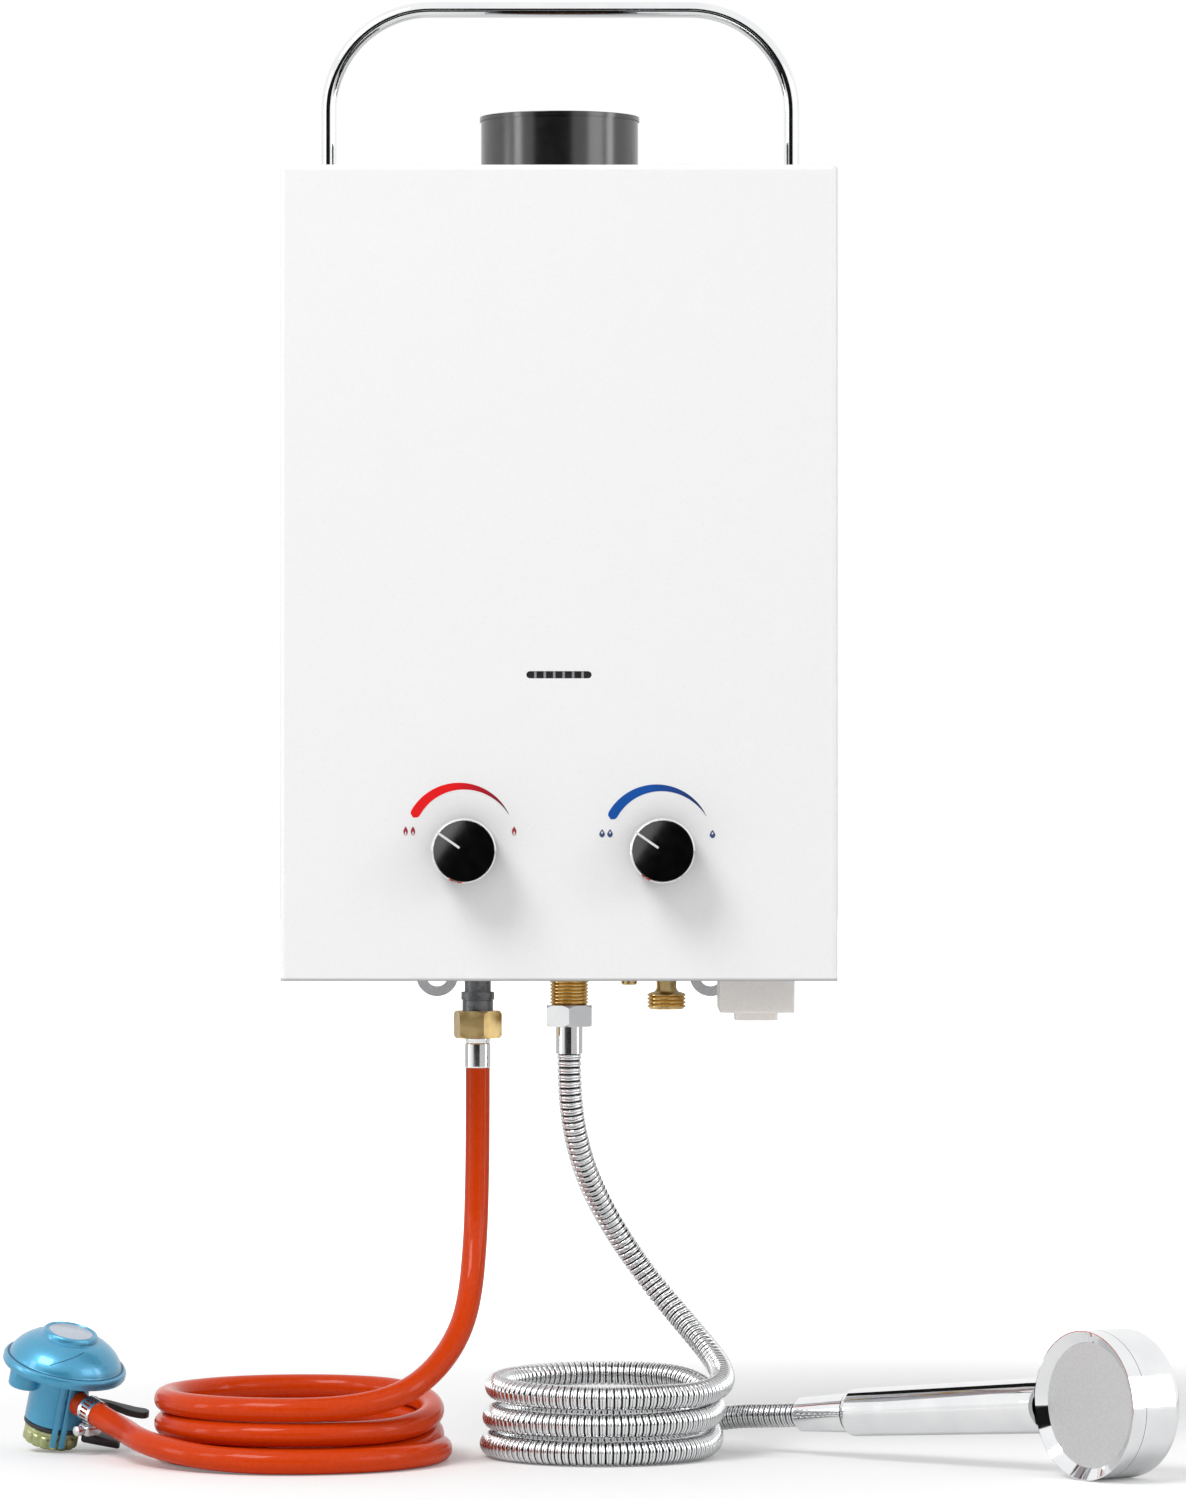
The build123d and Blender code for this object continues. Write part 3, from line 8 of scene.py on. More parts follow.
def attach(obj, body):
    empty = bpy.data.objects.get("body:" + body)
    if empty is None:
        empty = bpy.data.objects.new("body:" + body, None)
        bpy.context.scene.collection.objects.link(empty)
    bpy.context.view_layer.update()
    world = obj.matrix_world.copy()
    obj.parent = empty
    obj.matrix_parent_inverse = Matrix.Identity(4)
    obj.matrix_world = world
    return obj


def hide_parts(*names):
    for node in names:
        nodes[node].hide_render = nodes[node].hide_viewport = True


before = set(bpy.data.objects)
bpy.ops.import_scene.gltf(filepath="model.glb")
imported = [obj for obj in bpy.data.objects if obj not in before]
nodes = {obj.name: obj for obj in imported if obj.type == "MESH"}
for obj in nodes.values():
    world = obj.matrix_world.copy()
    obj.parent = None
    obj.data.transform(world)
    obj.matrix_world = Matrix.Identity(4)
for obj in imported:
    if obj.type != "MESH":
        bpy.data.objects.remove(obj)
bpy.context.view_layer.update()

# ---------------------------------------------------------------- studio
# The heater hangs a quarter of a metre over a pale floor, on which its hoses lie.  One soft
# lamp at the upper left and a weaker one at the right light it, and the camera looks
# straight at it from nearly four metres.
ground = -0.6566
camera_data = bpy.data.cameras.new("camera")
camera_data.lens = 170.2
camera_data.clip_end = 100
camera = bpy.data.objects.new("camera", camera_data)
camera.location = (0.018, -3.892, -0.2778)
camera.rotation_euler = (radians(90), 0, 0)
bpy.context.collection.objects.link(camera)
bpy.context.scene.camera = camera
bpy.context.scene.view_settings.view_transform = "Standard"


def lamp(name, place, target, size, power):
    """A square soft lamp that faces the target."""
    data = bpy.data.lights.new(name, "AREA")
    data.size = size
    data.energy = power
    light = bpy.data.objects.new(name, data)
    light.location = place
    light.rotation_euler = (Vector(target) - Vector(place)).to_track_quat("-Z", "Y").to_euler()
    bpy.context.collection.objects.link(light)


lamp("key_lamp", place=(-1.5, -1.9, 2.2), target=(0, -0.1, 0), size=1.5, power=66)
lamp("side_lamp", place=(2.3, -1.7, 0.6), target=(0, 0, -0.35), size=1.2, power=10)
# three tall strips light only what is glossy, as thin upright bands
strip_width = 0.42
watts_a_metre = 5
for strip_name, strip_x, strip_y, strip_z, tall in (
    ("left_strip", -1.96, -1.07, 0.5, 1),
    ("right_strip", 2.16, -0.49, 0, 1.8),
    ("low_strip", -2.2, -0.4, -0.3, 1),
):
    lamp(strip_name, (strip_x, strip_y, strip_z), (0, -0.07, strip_z), strip_width, watts_a_metre * tall)
    strip = bpy.data.objects[strip_name]
    strip.data.shape = "RECTANGLE"
    strip.data.size_y = tall
    strip.visible_diffuse = False

# the white room lights softly, but is full white to the camera, in a gloss and through glass
world = bpy.data.worlds.new("studio")
bpy.context.scene.world = world
world.use_nodes = True
tree = world.node_tree
background = tree.nodes["Background"]
backdrop = tree.nodes.new("ShaderNodeBackground")
for room, strength in ((background, 0.54), (backdrop, 1)):
    room.inputs["Color"].default_value = (1, 1, 1, 1)
    room.inputs["Strength"].default_value = strength
rays = tree.nodes.new("ShaderNodeLightPath")
seen = tree.nodes.new("ShaderNodeMath")
seen.operation = "MAXIMUM"
seen_or_glass = tree.nodes.new("ShaderNodeMath")
seen_or_glass.operation = "MAXIMUM"
choose = tree.nodes.new("ShaderNodeMixShader")
tree.links.new(rays.outputs["Is Camera Ray"], seen.inputs[0])
tree.links.new(rays.outputs["Is Glossy Ray"], seen.inputs[1])
tree.links.new(seen.outputs[0], seen_or_glass.inputs[0])
tree.links.new(rays.outputs["Is Transmission Ray"], seen_or_glass.inputs[1])
tree.links.new(seen_or_glass.outputs[0], choose.inputs["Fac"])
tree.links.new(background.outputs[0], choose.inputs[1])
tree.links.new(backdrop.outputs[0], choose.inputs[2])
tree.links.new(choose.outputs[0], tree.nodes["World Output"].inputs["Surface"])


def clear():
    """Leave edit mode and select nothing."""
    if bpy.context.mode != "OBJECT":
        bpy.ops.object.mode_set(mode="OBJECT")
    bpy.ops.object.select_all(action="DESELECT")


def flat_sheet(name, middle, width, height, tilt=0, turn=0):
    """A flat sheet with its place in its mesh, tilted and turned by degrees."""
    clear()
    bpy.ops.mesh.primitive_plane_add(size=1, location=middle, rotation=(radians(tilt), 0, radians(turn)))
    sheet = bpy.context.object
    sheet.name = name
    sheet.scale = (width, height, 1)
    bpy.ops.object.transform_apply(location=True, rotation=True, scale=True)
    return sheet


def set_shader(material, values):
    """Set inputs of the material's shader by their names."""
    inputs = material.node_tree.nodes["Principled BSDF"].inputs
    for name, value in values.items():
        inputs[name].default_value = value


floor = flat_sheet("floor", middle=(0, 0, ground - 0.0002), width=24, height=24)
floor_paint = bpy.data.materials.new("floor_paint")
floor_paint.use_nodes = True
set_shader(floor_paint, {"Base Color": (0.86, 0.86, 0.86, 1), "Roughness": 0.7, "Specular IOR Level": 0.2})
tree = floor_paint.node_tree
glow = tree.nodes.new("ShaderNodeEmission")
glow.inputs["Color"].default_value = (1, 1, 1, 1)
# the floor glows a little for the camera, and fades to the white backdrop farther out
place = tree.nodes.new("ShaderNodeTexCoord")
away = tree.nodes.new("ShaderNodeVectorMath")
away.operation = "LENGTH"
fade = tree.nodes.new("ShaderNodeMapRange")
fade.interpolation_type = "SMOOTHSTEP"
fade.inputs["From Min"].default_value = 0.68
fade.inputs["From Max"].default_value = 1.3
fade.inputs["To Min"].default_value = 0.155
fade.inputs["To Max"].default_value = 1
rays = tree.nodes.new("ShaderNodeLightPath")
share = tree.nodes.new("ShaderNodeMath")
share.operation = "MULTIPLY"
lift = tree.nodes.new("ShaderNodeAddShader")
tree.links.new(place.outputs["Object"], away.inputs[0])
tree.links.new(away.outputs["Value"], fade.inputs["Value"])
tree.links.new(rays.outputs["Is Camera Ray"], share.inputs[0])
tree.links.new(fade.outputs["Result"], share.inputs[1])
tree.links.new(share.outputs[0], glow.inputs["Strength"])
tree.links.new(tree.nodes["Principled BSDF"].outputs[0], lift.inputs[0])
tree.links.new(glow.outputs[0], lift.inputs[1])
tree.links.new(lift.outputs[0], tree.nodes["Material Output"].inputs["Surface"])
floor.data.materials.append(floor_paint)

# dark cloths behind the camera, below the handle and above the shower's grip show only in
# polished surfaces, and from one side
cloth_paint = bpy.data.materials.new("cloth_black")
cloth_paint.use_nodes = True
set_shader(cloth_paint, {"Base Color": (0.015, 0.015, 0.015, 1), "Roughness": 1, "Specular IOR Level": 0})
tree = cloth_paint.node_tree
side_seen = tree.nodes.new("ShaderNodeNewGeometry")
open_side = tree.nodes.new("ShaderNodeBsdfTransparent")
one_side = tree.nodes.new("ShaderNodeMixShader")
tree.links.new(side_seen.outputs["Backfacing"], one_side.inputs["Fac"])
tree.links.new(tree.nodes["Principled BSDF"].outputs[0], one_side.inputs[1])
tree.links.new(open_side.outputs[0], one_side.inputs[2])
tree.links.new(one_side.outputs[0], tree.nodes["Material Output"].inputs["Surface"])


def hide_from_all_but_gloss(piece, paint):
    """Stage a sheet that only polished surfaces show."""
    piece.data.materials.append(paint)
    piece.visible_camera = False
    piece.visible_diffuse = False
    piece.visible_shadow = False
    piece.visible_transmission = False


for cloth_name, middle, width, height, tilt, turn in (
    ("wall_cloth", (-0.9, -4.1, 0.222), 4.4, 1.756, -90, 0),
    ("handle_cloth", (0, -0.34, 0), 0.44, 0.36, 0, 0),
    ("grip_cloth", (0.13, -0.045, -0.47), 0.17, 0.07, 180, -36),
):
    cloth = flat_sheet(cloth_name, middle, width, height, tilt, turn)
    hide_from_all_but_gloss(cloth, cloth_paint)

# a grey sheet at the left tones the left sides of the bright fittings
sheet_grey = cloth_paint.copy()
sheet_grey.name = "sheet_grey"
set_shader(sheet_grey, {"Base Color": (0, 0, 0, 1), "Emission Color": (1, 1, 1, 1), "Emission Strength": 0.9})
side_sheet = flat_sheet("side_sheet", (-2.7, -1.63, -0.33), width=1.3, height=0.65, tilt=90, turn=120)
hide_from_all_but_gloss(side_sheet, sheet_grey)

# a small bright card for each knob leaves a grey wedge in its polished face
card_glow = bpy.data.materials.new("card_glow")
card_glow.use_nodes = True
tree = card_glow.node_tree
shine = tree.nodes.new("ShaderNodeEmission")
place = tree.nodes.new("ShaderNodeTexCoord")
ripple = tree.nodes.new("ShaderNodeTexNoise")
ripple.inputs["Scale"].default_value = 12
glow_range = tree.nodes.new("ShaderNodeMapRange")
glow_range.inputs["To Min"].default_value = 1.8
glow_range.inputs["To Max"].default_value = 4.2
tree.links.new(place.outputs["Object"], ripple.inputs["Vector"])
tree.links.new(ripple.outputs["Fac"], glow_range.inputs["Value"])
tree.links.new(glow_range.outputs["Result"], shine.inputs["Strength"])
tree.links.new(shine.outputs[0], tree.nodes["Material Output"].inputs["Surface"])
card_corners = ((-0.034, -0.018), (0.003, 0.036), (-0.05, 0.045))
card_y, card_z = -4.08, -0.387
for card_name, card_x in (("gas_card", -0.122), ("water_card", 0.093)):
    clear()
    bpy.ops.mesh.primitive_circle_add(vertices=3, radius=0.04, fill_type="NGON")
    card = bpy.context.object
    card.name = card_name
    for vertex, (corner_x, corner_z) in zip(card.data.vertices, card_corners):
        vertex.co = (card_x + corner_x, card_y, card_z + corner_z)
    hide_from_all_but_gloss(card, card_glow)

# ---------------------------------------------------------------- case
# The case is a folded sheet cover, stove-enamelled white, which four countersunk screws
# hold to a zinc-plated back panel and bottom plate.
case_bottom = -0.4
case_front = -0.142
core_y = -0.07


def finish(name, dark, light, rough, grain, metallic=0, dent=0, spread=0.06):
    """A material whose colour and roughness vary with a fine grain, in grains a metre."""
    material = bpy.data.materials.new(name)
    material.use_nodes = True
    tree = material.node_tree
    shader = tree.nodes["Principled BSDF"]
    shader.inputs["Metallic"].default_value = metallic
    place = tree.nodes.new("ShaderNodeTexCoord")
    noise = tree.nodes.new("ShaderNodeTexNoise")
    noise.inputs["Scale"].default_value = grain
    noise.inputs["Detail"].default_value = 5
    tint = tree.nodes.new("ShaderNodeValToRGB")
    tint.color_ramp.elements[0].position = 0.35
    tint.color_ramp.elements[0].color = (*dark, 1)
    tint.color_ramp.elements[1].position = 0.65
    tint.color_ramp.elements[1].color = (*light, 1)
    gloss = tree.nodes.new("ShaderNodeMapRange")
    gloss.inputs["From Min"].default_value = 0.3
    gloss.inputs["From Max"].default_value = 0.7
    gloss.inputs["To Min"].default_value = max(rough - spread / 2, 0.02)
    gloss.inputs["To Max"].default_value = rough + spread / 2
    tree.links.new(place.outputs["Object"], noise.inputs["Vector"])
    tree.links.new(noise.outputs["Fac"], tint.inputs["Fac"])
    tree.links.new(noise.outputs["Fac"], gloss.inputs["Value"])
    tree.links.new(tint.outputs["Color"], shader.inputs["Base Color"])
    tree.links.new(gloss.outputs["Result"], shader.inputs["Roughness"])
    if dent:
        bump = tree.nodes.new("ShaderNodeBump")
        bump.inputs["Strength"].default_value = 0.5
        bump.inputs["Distance"].default_value = dent
        tree.links.new(noise.outputs["Fac"], bump.inputs["Height"])
        tree.links.new(bump.outputs["Normal"], shader.inputs["Normal"])
    return material


def coat(material, *names):
    """Give these CAD nodes the material."""
    for name in names:
        nodes[name].data.materials.clear()
        nodes[name].data.materials.append(material)


def ramp_along(material, axis, start, end):
    """A socket that grows from 0 at start to 1 at end along an axis."""
    tree = material.node_tree
    split = tree.nodes.new("ShaderNodeSeparateXYZ")
    ramp = tree.nodes.new("ShaderNodeMapRange")
    ramp.inputs["From Min"].default_value = start
    ramp.inputs["From Max"].default_value = end
    tree.links.new(tree.nodes["Texture Coordinate"].outputs["Object"], split.inputs[0])
    tree.links.new(split.outputs[axis], ramp.inputs["Value"])
    return ramp.outputs["Result"]


def blend_colour(material, share, colour):
    """Turn the material's own colour to another one by the share that a socket gives."""
    tree = material.node_tree
    mix = tree.nodes.new("ShaderNodeMix")
    mix.data_type = "RGBA"
    mix.inputs[7].default_value = (*colour, 1)
    tree.links.new(share, mix.inputs["Factor"])
    tree.links.new(tree.nodes["Color Ramp"].outputs["Color"], mix.inputs[6])
    tree.links.new(mix.outputs[2], tree.nodes["Principled BSDF"].inputs["Base Color"])


enamel = finish("white_enamel", (0.89, 0.89, 0.89), (0.91, 0.91, 0.91), rough=0.3, grain=900, dent=0.00001)
set_shader(enamel, {"Coat Weight": 0.4, "Coat Roughness": 0.12})
zinc = finish(
    "zinc_plate", (0.5, 0.51, 0.53), (0.62, 0.63, 0.65),
    metallic=1, rough=0.38, grain=260, dent=0.00002, spread=0.16
)
# painted shade: the enamel's colour turns grey over the folded lower edge, where the downward-facing edge
# falls in shade
painted_shade_lower_edge = ramp_along(enamel, "Z", case_bottom + 0.0019, case_bottom + 0.0004)
blend_colour(enamel, painted_shade_lower_edge, (0.36, 0.36, 0.36))
coat(enamel, "front_cover")
coat(zinc, "rear_panel", "bottom_plate", "cover_screws")

# ---------------------------------------------------------------- brackets
# A pressed plate of zinc-plated steel behind the top of the case hooks over the wall screw,
# and a grey painted strip below the case ends in two ring ears for the lower screws.
ear_paint = finish(
    "grey_paint", (0.57, 0.58, 0.6), (0.65, 0.66, 0.68), metallic=0.6, rough=0.42, grain=500, dent=0.00002
)
coat(zinc, "hanging_bracket")
coat(ear_paint, "lower_bracket")

# ---------------------------------------------------------------- carrying handle
# The handle is one bent chromed rod, pinned between the ears of two zinc-plated clips
# behind the case, where it folds down.
chrome = finish(
    "chrome", (0.84, 0.85, 0.86), (0.9, 0.905, 0.91), metallic=1, rough=0.05, grain=60, spread=0.03
)
coat(chrome, "handle")
coat(zinc, "handle_brackets", "handle_pins")

# ---------------------------------------------------------------- flue and exchanger
# The black collar carries the hot gas out of a copper heat exchanger with fins, a coiled
# water pipe and a chamber wall.
flue_black = finish(
    "flue_black", (0.004, 0.004, 0.004), (0.007, 0.007, 0.007), rough=0.2, grain=160, spread=0.02
)
set_shader(flue_black, {"Specular IOR Level": 0.95})
copper = finish(
    "copper_sheet", (0.62, 0.3, 0.18), (0.75, 0.4, 0.26),
    metallic=1, rough=0.33, grain=90, dent=0.00002, spread=0.18
)
coat(flue_black, "flue_collar")
coat(zinc, "flue_hood")
coat(copper, "combustion_chamber", "exchanger_fins", "exchanger_pipe", "cold_pipe", "hot_pipe")

# ---------------------------------------------------------------- burner and valves
# Stamped steel burner bars stand on an aluminium manifold, lit by ceramic electrodes and
# fed by a cast gas valve.  A cast water valve with a brass cover works it through a push rod.
burner_steel = finish(
    "burner_steel", (0.34, 0.33, 0.33), (0.52, 0.51, 0.5),
    metallic=1, rough=0.4, grain=160, dent=0.00002, spread=0.2
)
casting = finish(
    "cast_aluminium", (0.5, 0.5, 0.51), (0.6, 0.6, 0.61), metallic=1, rough=0.5, grain=1400, dent=0.0001
)
ceramic = finish("ceramic", (0.82, 0.8, 0.75), (0.88, 0.86, 0.82), rough=0.2, grain=300)
brass = finish(
    "brass", (0.66, 0.46, 0.19), (0.76, 0.56, 0.26),
    metallic=1, rough=0.2, grain=160, dent=0.00001, spread=0.1
)
black_plastic = finish(
    "black_plastic", (0.014, 0.014, 0.015), (0.028, 0.028, 0.03), rough=0.45, grain=1500, dent=0.00003
)
grey_plastic = finish(
    "grey_plastic", (0.26, 0.27, 0.29), (0.32, 0.33, 0.35), rough=0.5, grain=1300, dent=0.00003
)
coat(burner_steel, "burner_bars", "gas_spindle", "water_spindle", "water_valve_rod")
coat(casting, "gas_manifold", "gas_valve_body", "water_valve_body")
coat(ceramic, "electrodes")
coat(black_plastic, "gas_solenoid", "microswitch")
coat(grey_plastic, "overheat_thermostat", "ignition_box")
coat(brass, "water_valve_cover")

# ---------------------------------------------------------------- viewing slot
# A pane of smoked glass lies behind a slot punched in the cover, and shows the burner's
# flame between grey ribs, which stand forward into the slot.
smoked = finish("smoked_window", (0.012, 0.012, 0.014), (0.02, 0.02, 0.022), rough=0.3, grain=400)
rib_depth = 0.0009
tree = smoked.node_tree
depth_split = tree.nodes.new("ShaderNodeSeparateXYZ")
rib = tree.nodes.new("ShaderNodeMath")
rib.operation = "LESS_THAN"
rib.inputs[1].default_value = case_front + rib_depth
tree.links.new(tree.nodes["Texture Coordinate"].outputs["Object"], depth_split.inputs[0])
tree.links.new(depth_split.outputs["Y"], rib.inputs[0])
blend_colour(smoked, rib.outputs[0], (0.28, 0.28, 0.29))
coat(smoked, "viewing_window")

# ---------------------------------------------------------------- knobs
# Each knob is a glossy black moulding with a bright metal ring round its front edge and a
# silver-white pointer pressed into its face.
knob_z = -0.3308
knob_face = -0.167
knob_black = finish(
    "gloss_black", (0.0015, 0.0015, 0.0015), (0.003, 0.003, 0.003), rough=0.024, grain=200, spread=0.008
)
pointer_white = finish(
    "pointer_silver", (0.74, 0.75, 0.76), (0.86, 0.87, 0.88), metallic=0.2, rough=0.3, grain=800
)
coat(knob_black, "gas_knob", "water_knob")
coat(chrome, "gas_knob_ring", "water_knob_ring")


def select_only(piece):
    """Leave edit mode and select this piece alone."""
    clear()
    piece.select_set(True)
    bpy.context.view_layer.objects.active = piece


def apply_place(piece):
    """Put the piece's place and turn into its mesh."""
    select_only(piece)
    bpy.ops.object.transform_apply(location=True, rotation=True, scale=True)


sharp_angle = radians(35)


def soften(piece, width, segments=2):
    """Round the piece's sharp edges and shade it."""
    rounding = piece.modifiers.new("rounding", "BEVEL")
    rounding.width = width
    rounding.segments = segments
    rounding.limit_method = "ANGLE"
    rounding.angle_limit = sharp_angle
    select_only(piece)
    bpy.ops.object.modifier_apply(modifier="rounding")
    bpy.ops.object.shade_smooth_by_angle(angle=sharp_angle)


def fit(piece, body, material):
    """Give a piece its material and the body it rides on."""
    piece.data.materials.append(material)
    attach(piece, body)


pointer_length, pointer_thickness, pointer_width = 0.015, 0.0006, 0.00126
pointer_reach = 0.0176
pointer_sunk = 0.0002
pointer_turn = radians(145)
for control, knob_x in (("gas", -0.05), ("water", 0.0545)):
    clear()
    bpy.ops.mesh.primitive_cube_add(size=1)
    pointer = bpy.context.object
    pointer.name = f"{control}_pointer"
    pointer.scale = (pointer_length, pointer_thickness, pointer_width)
    apply_place(pointer)
    soften(pointer, 0.00018)
    reach = pointer_reach - pointer_length / 2
    pointer.rotation_euler = (0, -pointer_turn, 0)
    pointer.location = (
        knob_x + reach * cos(pointer_turn), knob_face + pointer_sunk, knob_z + reach * sin(pointer_turn)
    )
    apply_place(pointer)
    fit(pointer, f"{control}_control", pointer_white)

# ---------------------------------------------------------------- printed scales
# Over each knob a tapering band is screen-printed on the enamel, red for the gas and blue
# for the water, with small flames or drops at its ends.
print_face = case_front - 0.00002
print_thickness = 0.00012


def ink(name, full, dark, left, right):
    """Printing ink that darkens from left to right, between two places."""
    material = finish(name, full, full, rough=0.4, grain=2500)
    set_shader(material, {"Specular IOR Level": 0.15})
    blend_colour(material, ramp_along(material, "X", left, right), dark)
    return material


def print_on(piece, material, name):
    """Give a flat outline its ink thickness and its place on the case."""
    piece.name = name
    select_only(piece)
    bpy.ops.object.mode_set(mode="EDIT")
    bpy.ops.mesh.select_all(action="SELECT")
    bpy.ops.mesh.extrude_region_move(TRANSFORM_OT_translate={"value": (0, -print_thickness, 0)})
    bpy.ops.mesh.select_all(action="SELECT")
    bpy.ops.mesh.normals_make_consistent(inside=False)
    bpy.ops.object.mode_set(mode="OBJECT")
    fit(piece, "heater", material)


scale_radius = 0.0292
scale_width = 0.0052
scale_start, scale_sweep = radians(156), radians(-131)
round_end = 0.05


def scale_band(name, centre_x, centre_z, material):
    """A band along an arc, thick and round at the left end and thin at the right."""
    clear()
    bpy.ops.mesh.primitive_grid_add(x_subdivisions=56, y_subdivisions=4, size=1)
    band = bpy.context.object
    for vertex in band.data.vertices:
        share = vertex.co.x + 0.5
        angle = scale_start + scale_sweep * share
        width = scale_width * (1 - share**1.7) + 0.0001
        middle = scale_radius - width / 2
        if share < round_end:
            width *= sqrt(max(1 - (1 - share / round_end) ** 2, 0.002))
        reach = middle + vertex.co.y * width
        vertex.co = (centre_x + reach * cos(angle), print_face, centre_z + reach * sin(angle))
    print_on(band, material, name)


red_ink = ink("red_ink", (0.82, 0.01, 0.012), (0.13, 0.01, 0.03), -0.0566, -0.028)
blue_ink = ink("blue_ink", (0.007, 0.085, 0.38), (0.02, 0.03, 0.12), 0.0474, 0.076)
scale_band("gas_scale", -0.0528, -0.3243, red_ink)
scale_band("water_scale", 0.0516, -0.3252, blue_ink)

flame_ink = finish("flame_ink", (0.3, 0.02, 0.03), (0.36, 0.03, 0.04), rough=0.45, grain=2500)
drop_ink = finish("drop_ink", (0.03, 0.06, 0.17), (0.05, 0.08, 0.2), rough=0.45, grain=2500)
sign_paper = finish("sign_white", (0.8, 0.8, 0.8), (0.84, 0.84, 0.84), rough=0.4, grain=2000)


def sign(name, centre_x, centre_z, size, pointed, material, face):
    """A small upright drop or flame outline, of this width and height."""
    clear()
    bpy.ops.mesh.primitive_circle_add(
        vertices=28, radius=1, fill_type="NGON", rotation=(radians(90), 0, 0)
    )
    outline = bpy.context.object
    apply_place(outline)
    for vertex in outline.data.vertices:
        up = vertex.co.z
        taper = ((1 - up) / 2) ** pointed
        aside = vertex.co.x * min(1.35 * taper, 1) * size[0] / 2
        vertex.co = (centre_x + aside, face, centre_z + up * size[1] / 2)
    print_on(outline, material, name)


# each sign has a white core, printed over it
core_face = print_face - 0.0001
flame_places = ((-0.0811, -0.3206), (-0.0772, -0.3206), (-0.0237, -0.3206))
flame_size, flame_core_size = (0.0024, 0.0048), (0.0008, 0.0022)
drop_places = ((0.0228, -0.3218), (0.027, -0.3218), (0.0812, -0.3222))
drop_size, drop_core_size = (0.0031, 0.0044), (0.0009, 0.0013)
for number, (sign_x, sign_z) in enumerate(flame_places, 1):
    sign(f"flame_{number}", sign_x, sign_z, flame_size, 0.45, flame_ink, print_face)
    sign(f"flame_core_{number}", sign_x, sign_z - 0.0012, flame_core_size, 0.6, sign_paper, core_face)
for number, (sign_x, sign_z) in enumerate(drop_places, 1):
    sign(f"drop_{number}", sign_x, sign_z, drop_size, 0.6, drop_ink, print_face)
    sign(f"drop_core_{number}", sign_x, sign_z + 0.0004, drop_core_size, 0.5, sign_paper, core_face)

# ---------------------------------------------------------------- pipe fittings
# The gas neck is dark steel, and the water fittings are turned brass with half-inch pipe
# threads.
pipe_thread = 0.0104775
root = pipe_thread - 0.0011
lead_in = pipe_thread - 0.0016
thread_pitch = 0.0018
gas_inlet_x, hot_outlet_x, cold_inlet_x = -0.0441, 0.0052, 0.0576
dark_steel = finish(
    "dark_steel", (0.11, 0.115, 0.12), (0.2, 0.2, 0.21),
    metallic=1, rough=0.4, grain=300, dent=0.00003, spread=0.14
)
coat(dark_steel, "gas_inlet")
coat(brass, "drain_plug")


def turned(name, rings, sides=48):
    """A piece turned on a lathe, as (radius, height) steps along the Z axis."""
    clear()
    radius, height = rings[0]
    bpy.ops.mesh.primitive_circle_add(
        vertices=sides, radius=radius, fill_type="NGON", location=(0, 0, height)
    )
    piece = bpy.context.object
    piece.name = name
    apply_place(piece)
    bpy.ops.object.mode_set(mode="EDIT")
    bpy.ops.mesh.select_all(action="SELECT")
    for next_radius, next_height in rings[1:]:
        bpy.ops.mesh.extrude_region_move(TRANSFORM_OT_translate={"value": (0, 0, next_height - height)})
        bpy.ops.transform.resize(
            value=(next_radius / radius, next_radius / radius, 1), center_override=(0, 0, next_height)
        )
        radius, height = next_radius, next_height
    bpy.ops.mesh.select_all(action="SELECT")
    bpy.ops.mesh.normals_make_consistent(inside=False)
    bpy.ops.object.mode_set(mode="OBJECT")
    bpy.ops.object.shade_smooth_by_angle(angle=sharp_angle)
    return piece


def thread(start, end):
    """The rings of a pipe thread's crests and roots, from start down to end."""
    rings = []
    turns = round((start - end) / thread_pitch)
    pitch = (start - end) / turns
    for turn in range(turns):
        top = start - turn * pitch
        rings += [(root, top), (pipe_thread, top - 0.4 * pitch), (pipe_thread, top - 0.6 * pitch)]
    return rings + [(root, end)]


neck = 0.0054
cold_inlet_top = -0.3598
cold_rings = [(neck, cold_inlet_top), (neck, case_bottom - 0.0062), (0.0064, case_bottom - 0.0078)]
cold_rings += thread(case_bottom - 0.0087, case_bottom - 0.0168)
cold_rings += [
    (lead_in, case_bottom - 0.0174), (0.0078, case_bottom - 0.0174), (0.0072, case_bottom - 0.0112),
]
cold_inlet = turned("cold_water_inlet", cold_rings)
cold_inlet.location = (cold_inlet_x, core_y, 0)
apply_place(cold_inlet)
fit(cold_inlet, "heater", brass)
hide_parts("cold_inlet")

clear()
bpy.ops.mesh.primitive_cube_add(size=1, location=(hot_outlet_x, core_y, -0.3843))
hot_elbow = bpy.context.object
hot_elbow.scale = (0.024, 0.024, 0.026)
hot_elbow.name = "hot_water_elbow"
apply_place(hot_elbow)
soften(hot_elbow, 0.003, 3)
fit(hot_elbow, "heater", brass)
hot_rings = [(root, -0.3974)] + thread(-0.398, case_bottom - 0.0165) + [(lead_in, case_bottom - 0.0245)]
hot_thread = turned("hot_water_thread", hot_rings)
hot_thread.location = (hot_outlet_x, core_y, 0)
apply_place(hot_thread)
fit(hot_thread, "heater", brass)
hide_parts("hot_outlet")

# ---------------------------------------------------------------- batteries
# Two cells stand in a pull-down tray of translucent plastic, in a holder of the same
# plastic over the bottom plate.
tray_plastic = finish("milky_plastic", (0.9, 0.865, 0.83), (0.94, 0.905, 0.87), rough=0.3, grain=500)
set_shader(
    tray_plastic,
    {"Subsurface Weight": 0.3, "Subsurface Radius": (0.004, 0.004, 0.003), "Subsurface Scale": 1},
)
cell_case = finish("cell_case", (0.12, 0.13, 0.15), (0.18, 0.19, 0.21), metallic=0.7, rough=0.3, grain=300)
coat(tray_plastic, "battery_tray", "battery_holder")
coat(cell_case, "battery_cells")

# ---------------------------------------------------------------- gas hose
# A glossy orange rubber hose runs from a crimped ferrule under a brass hex nut, through
# three neat turns on the floor, to the regulator's barb under a worm-drive clamp.
gas_hose_diameter = 0.013
ferrule_bottom = case_bottom - 0.0491


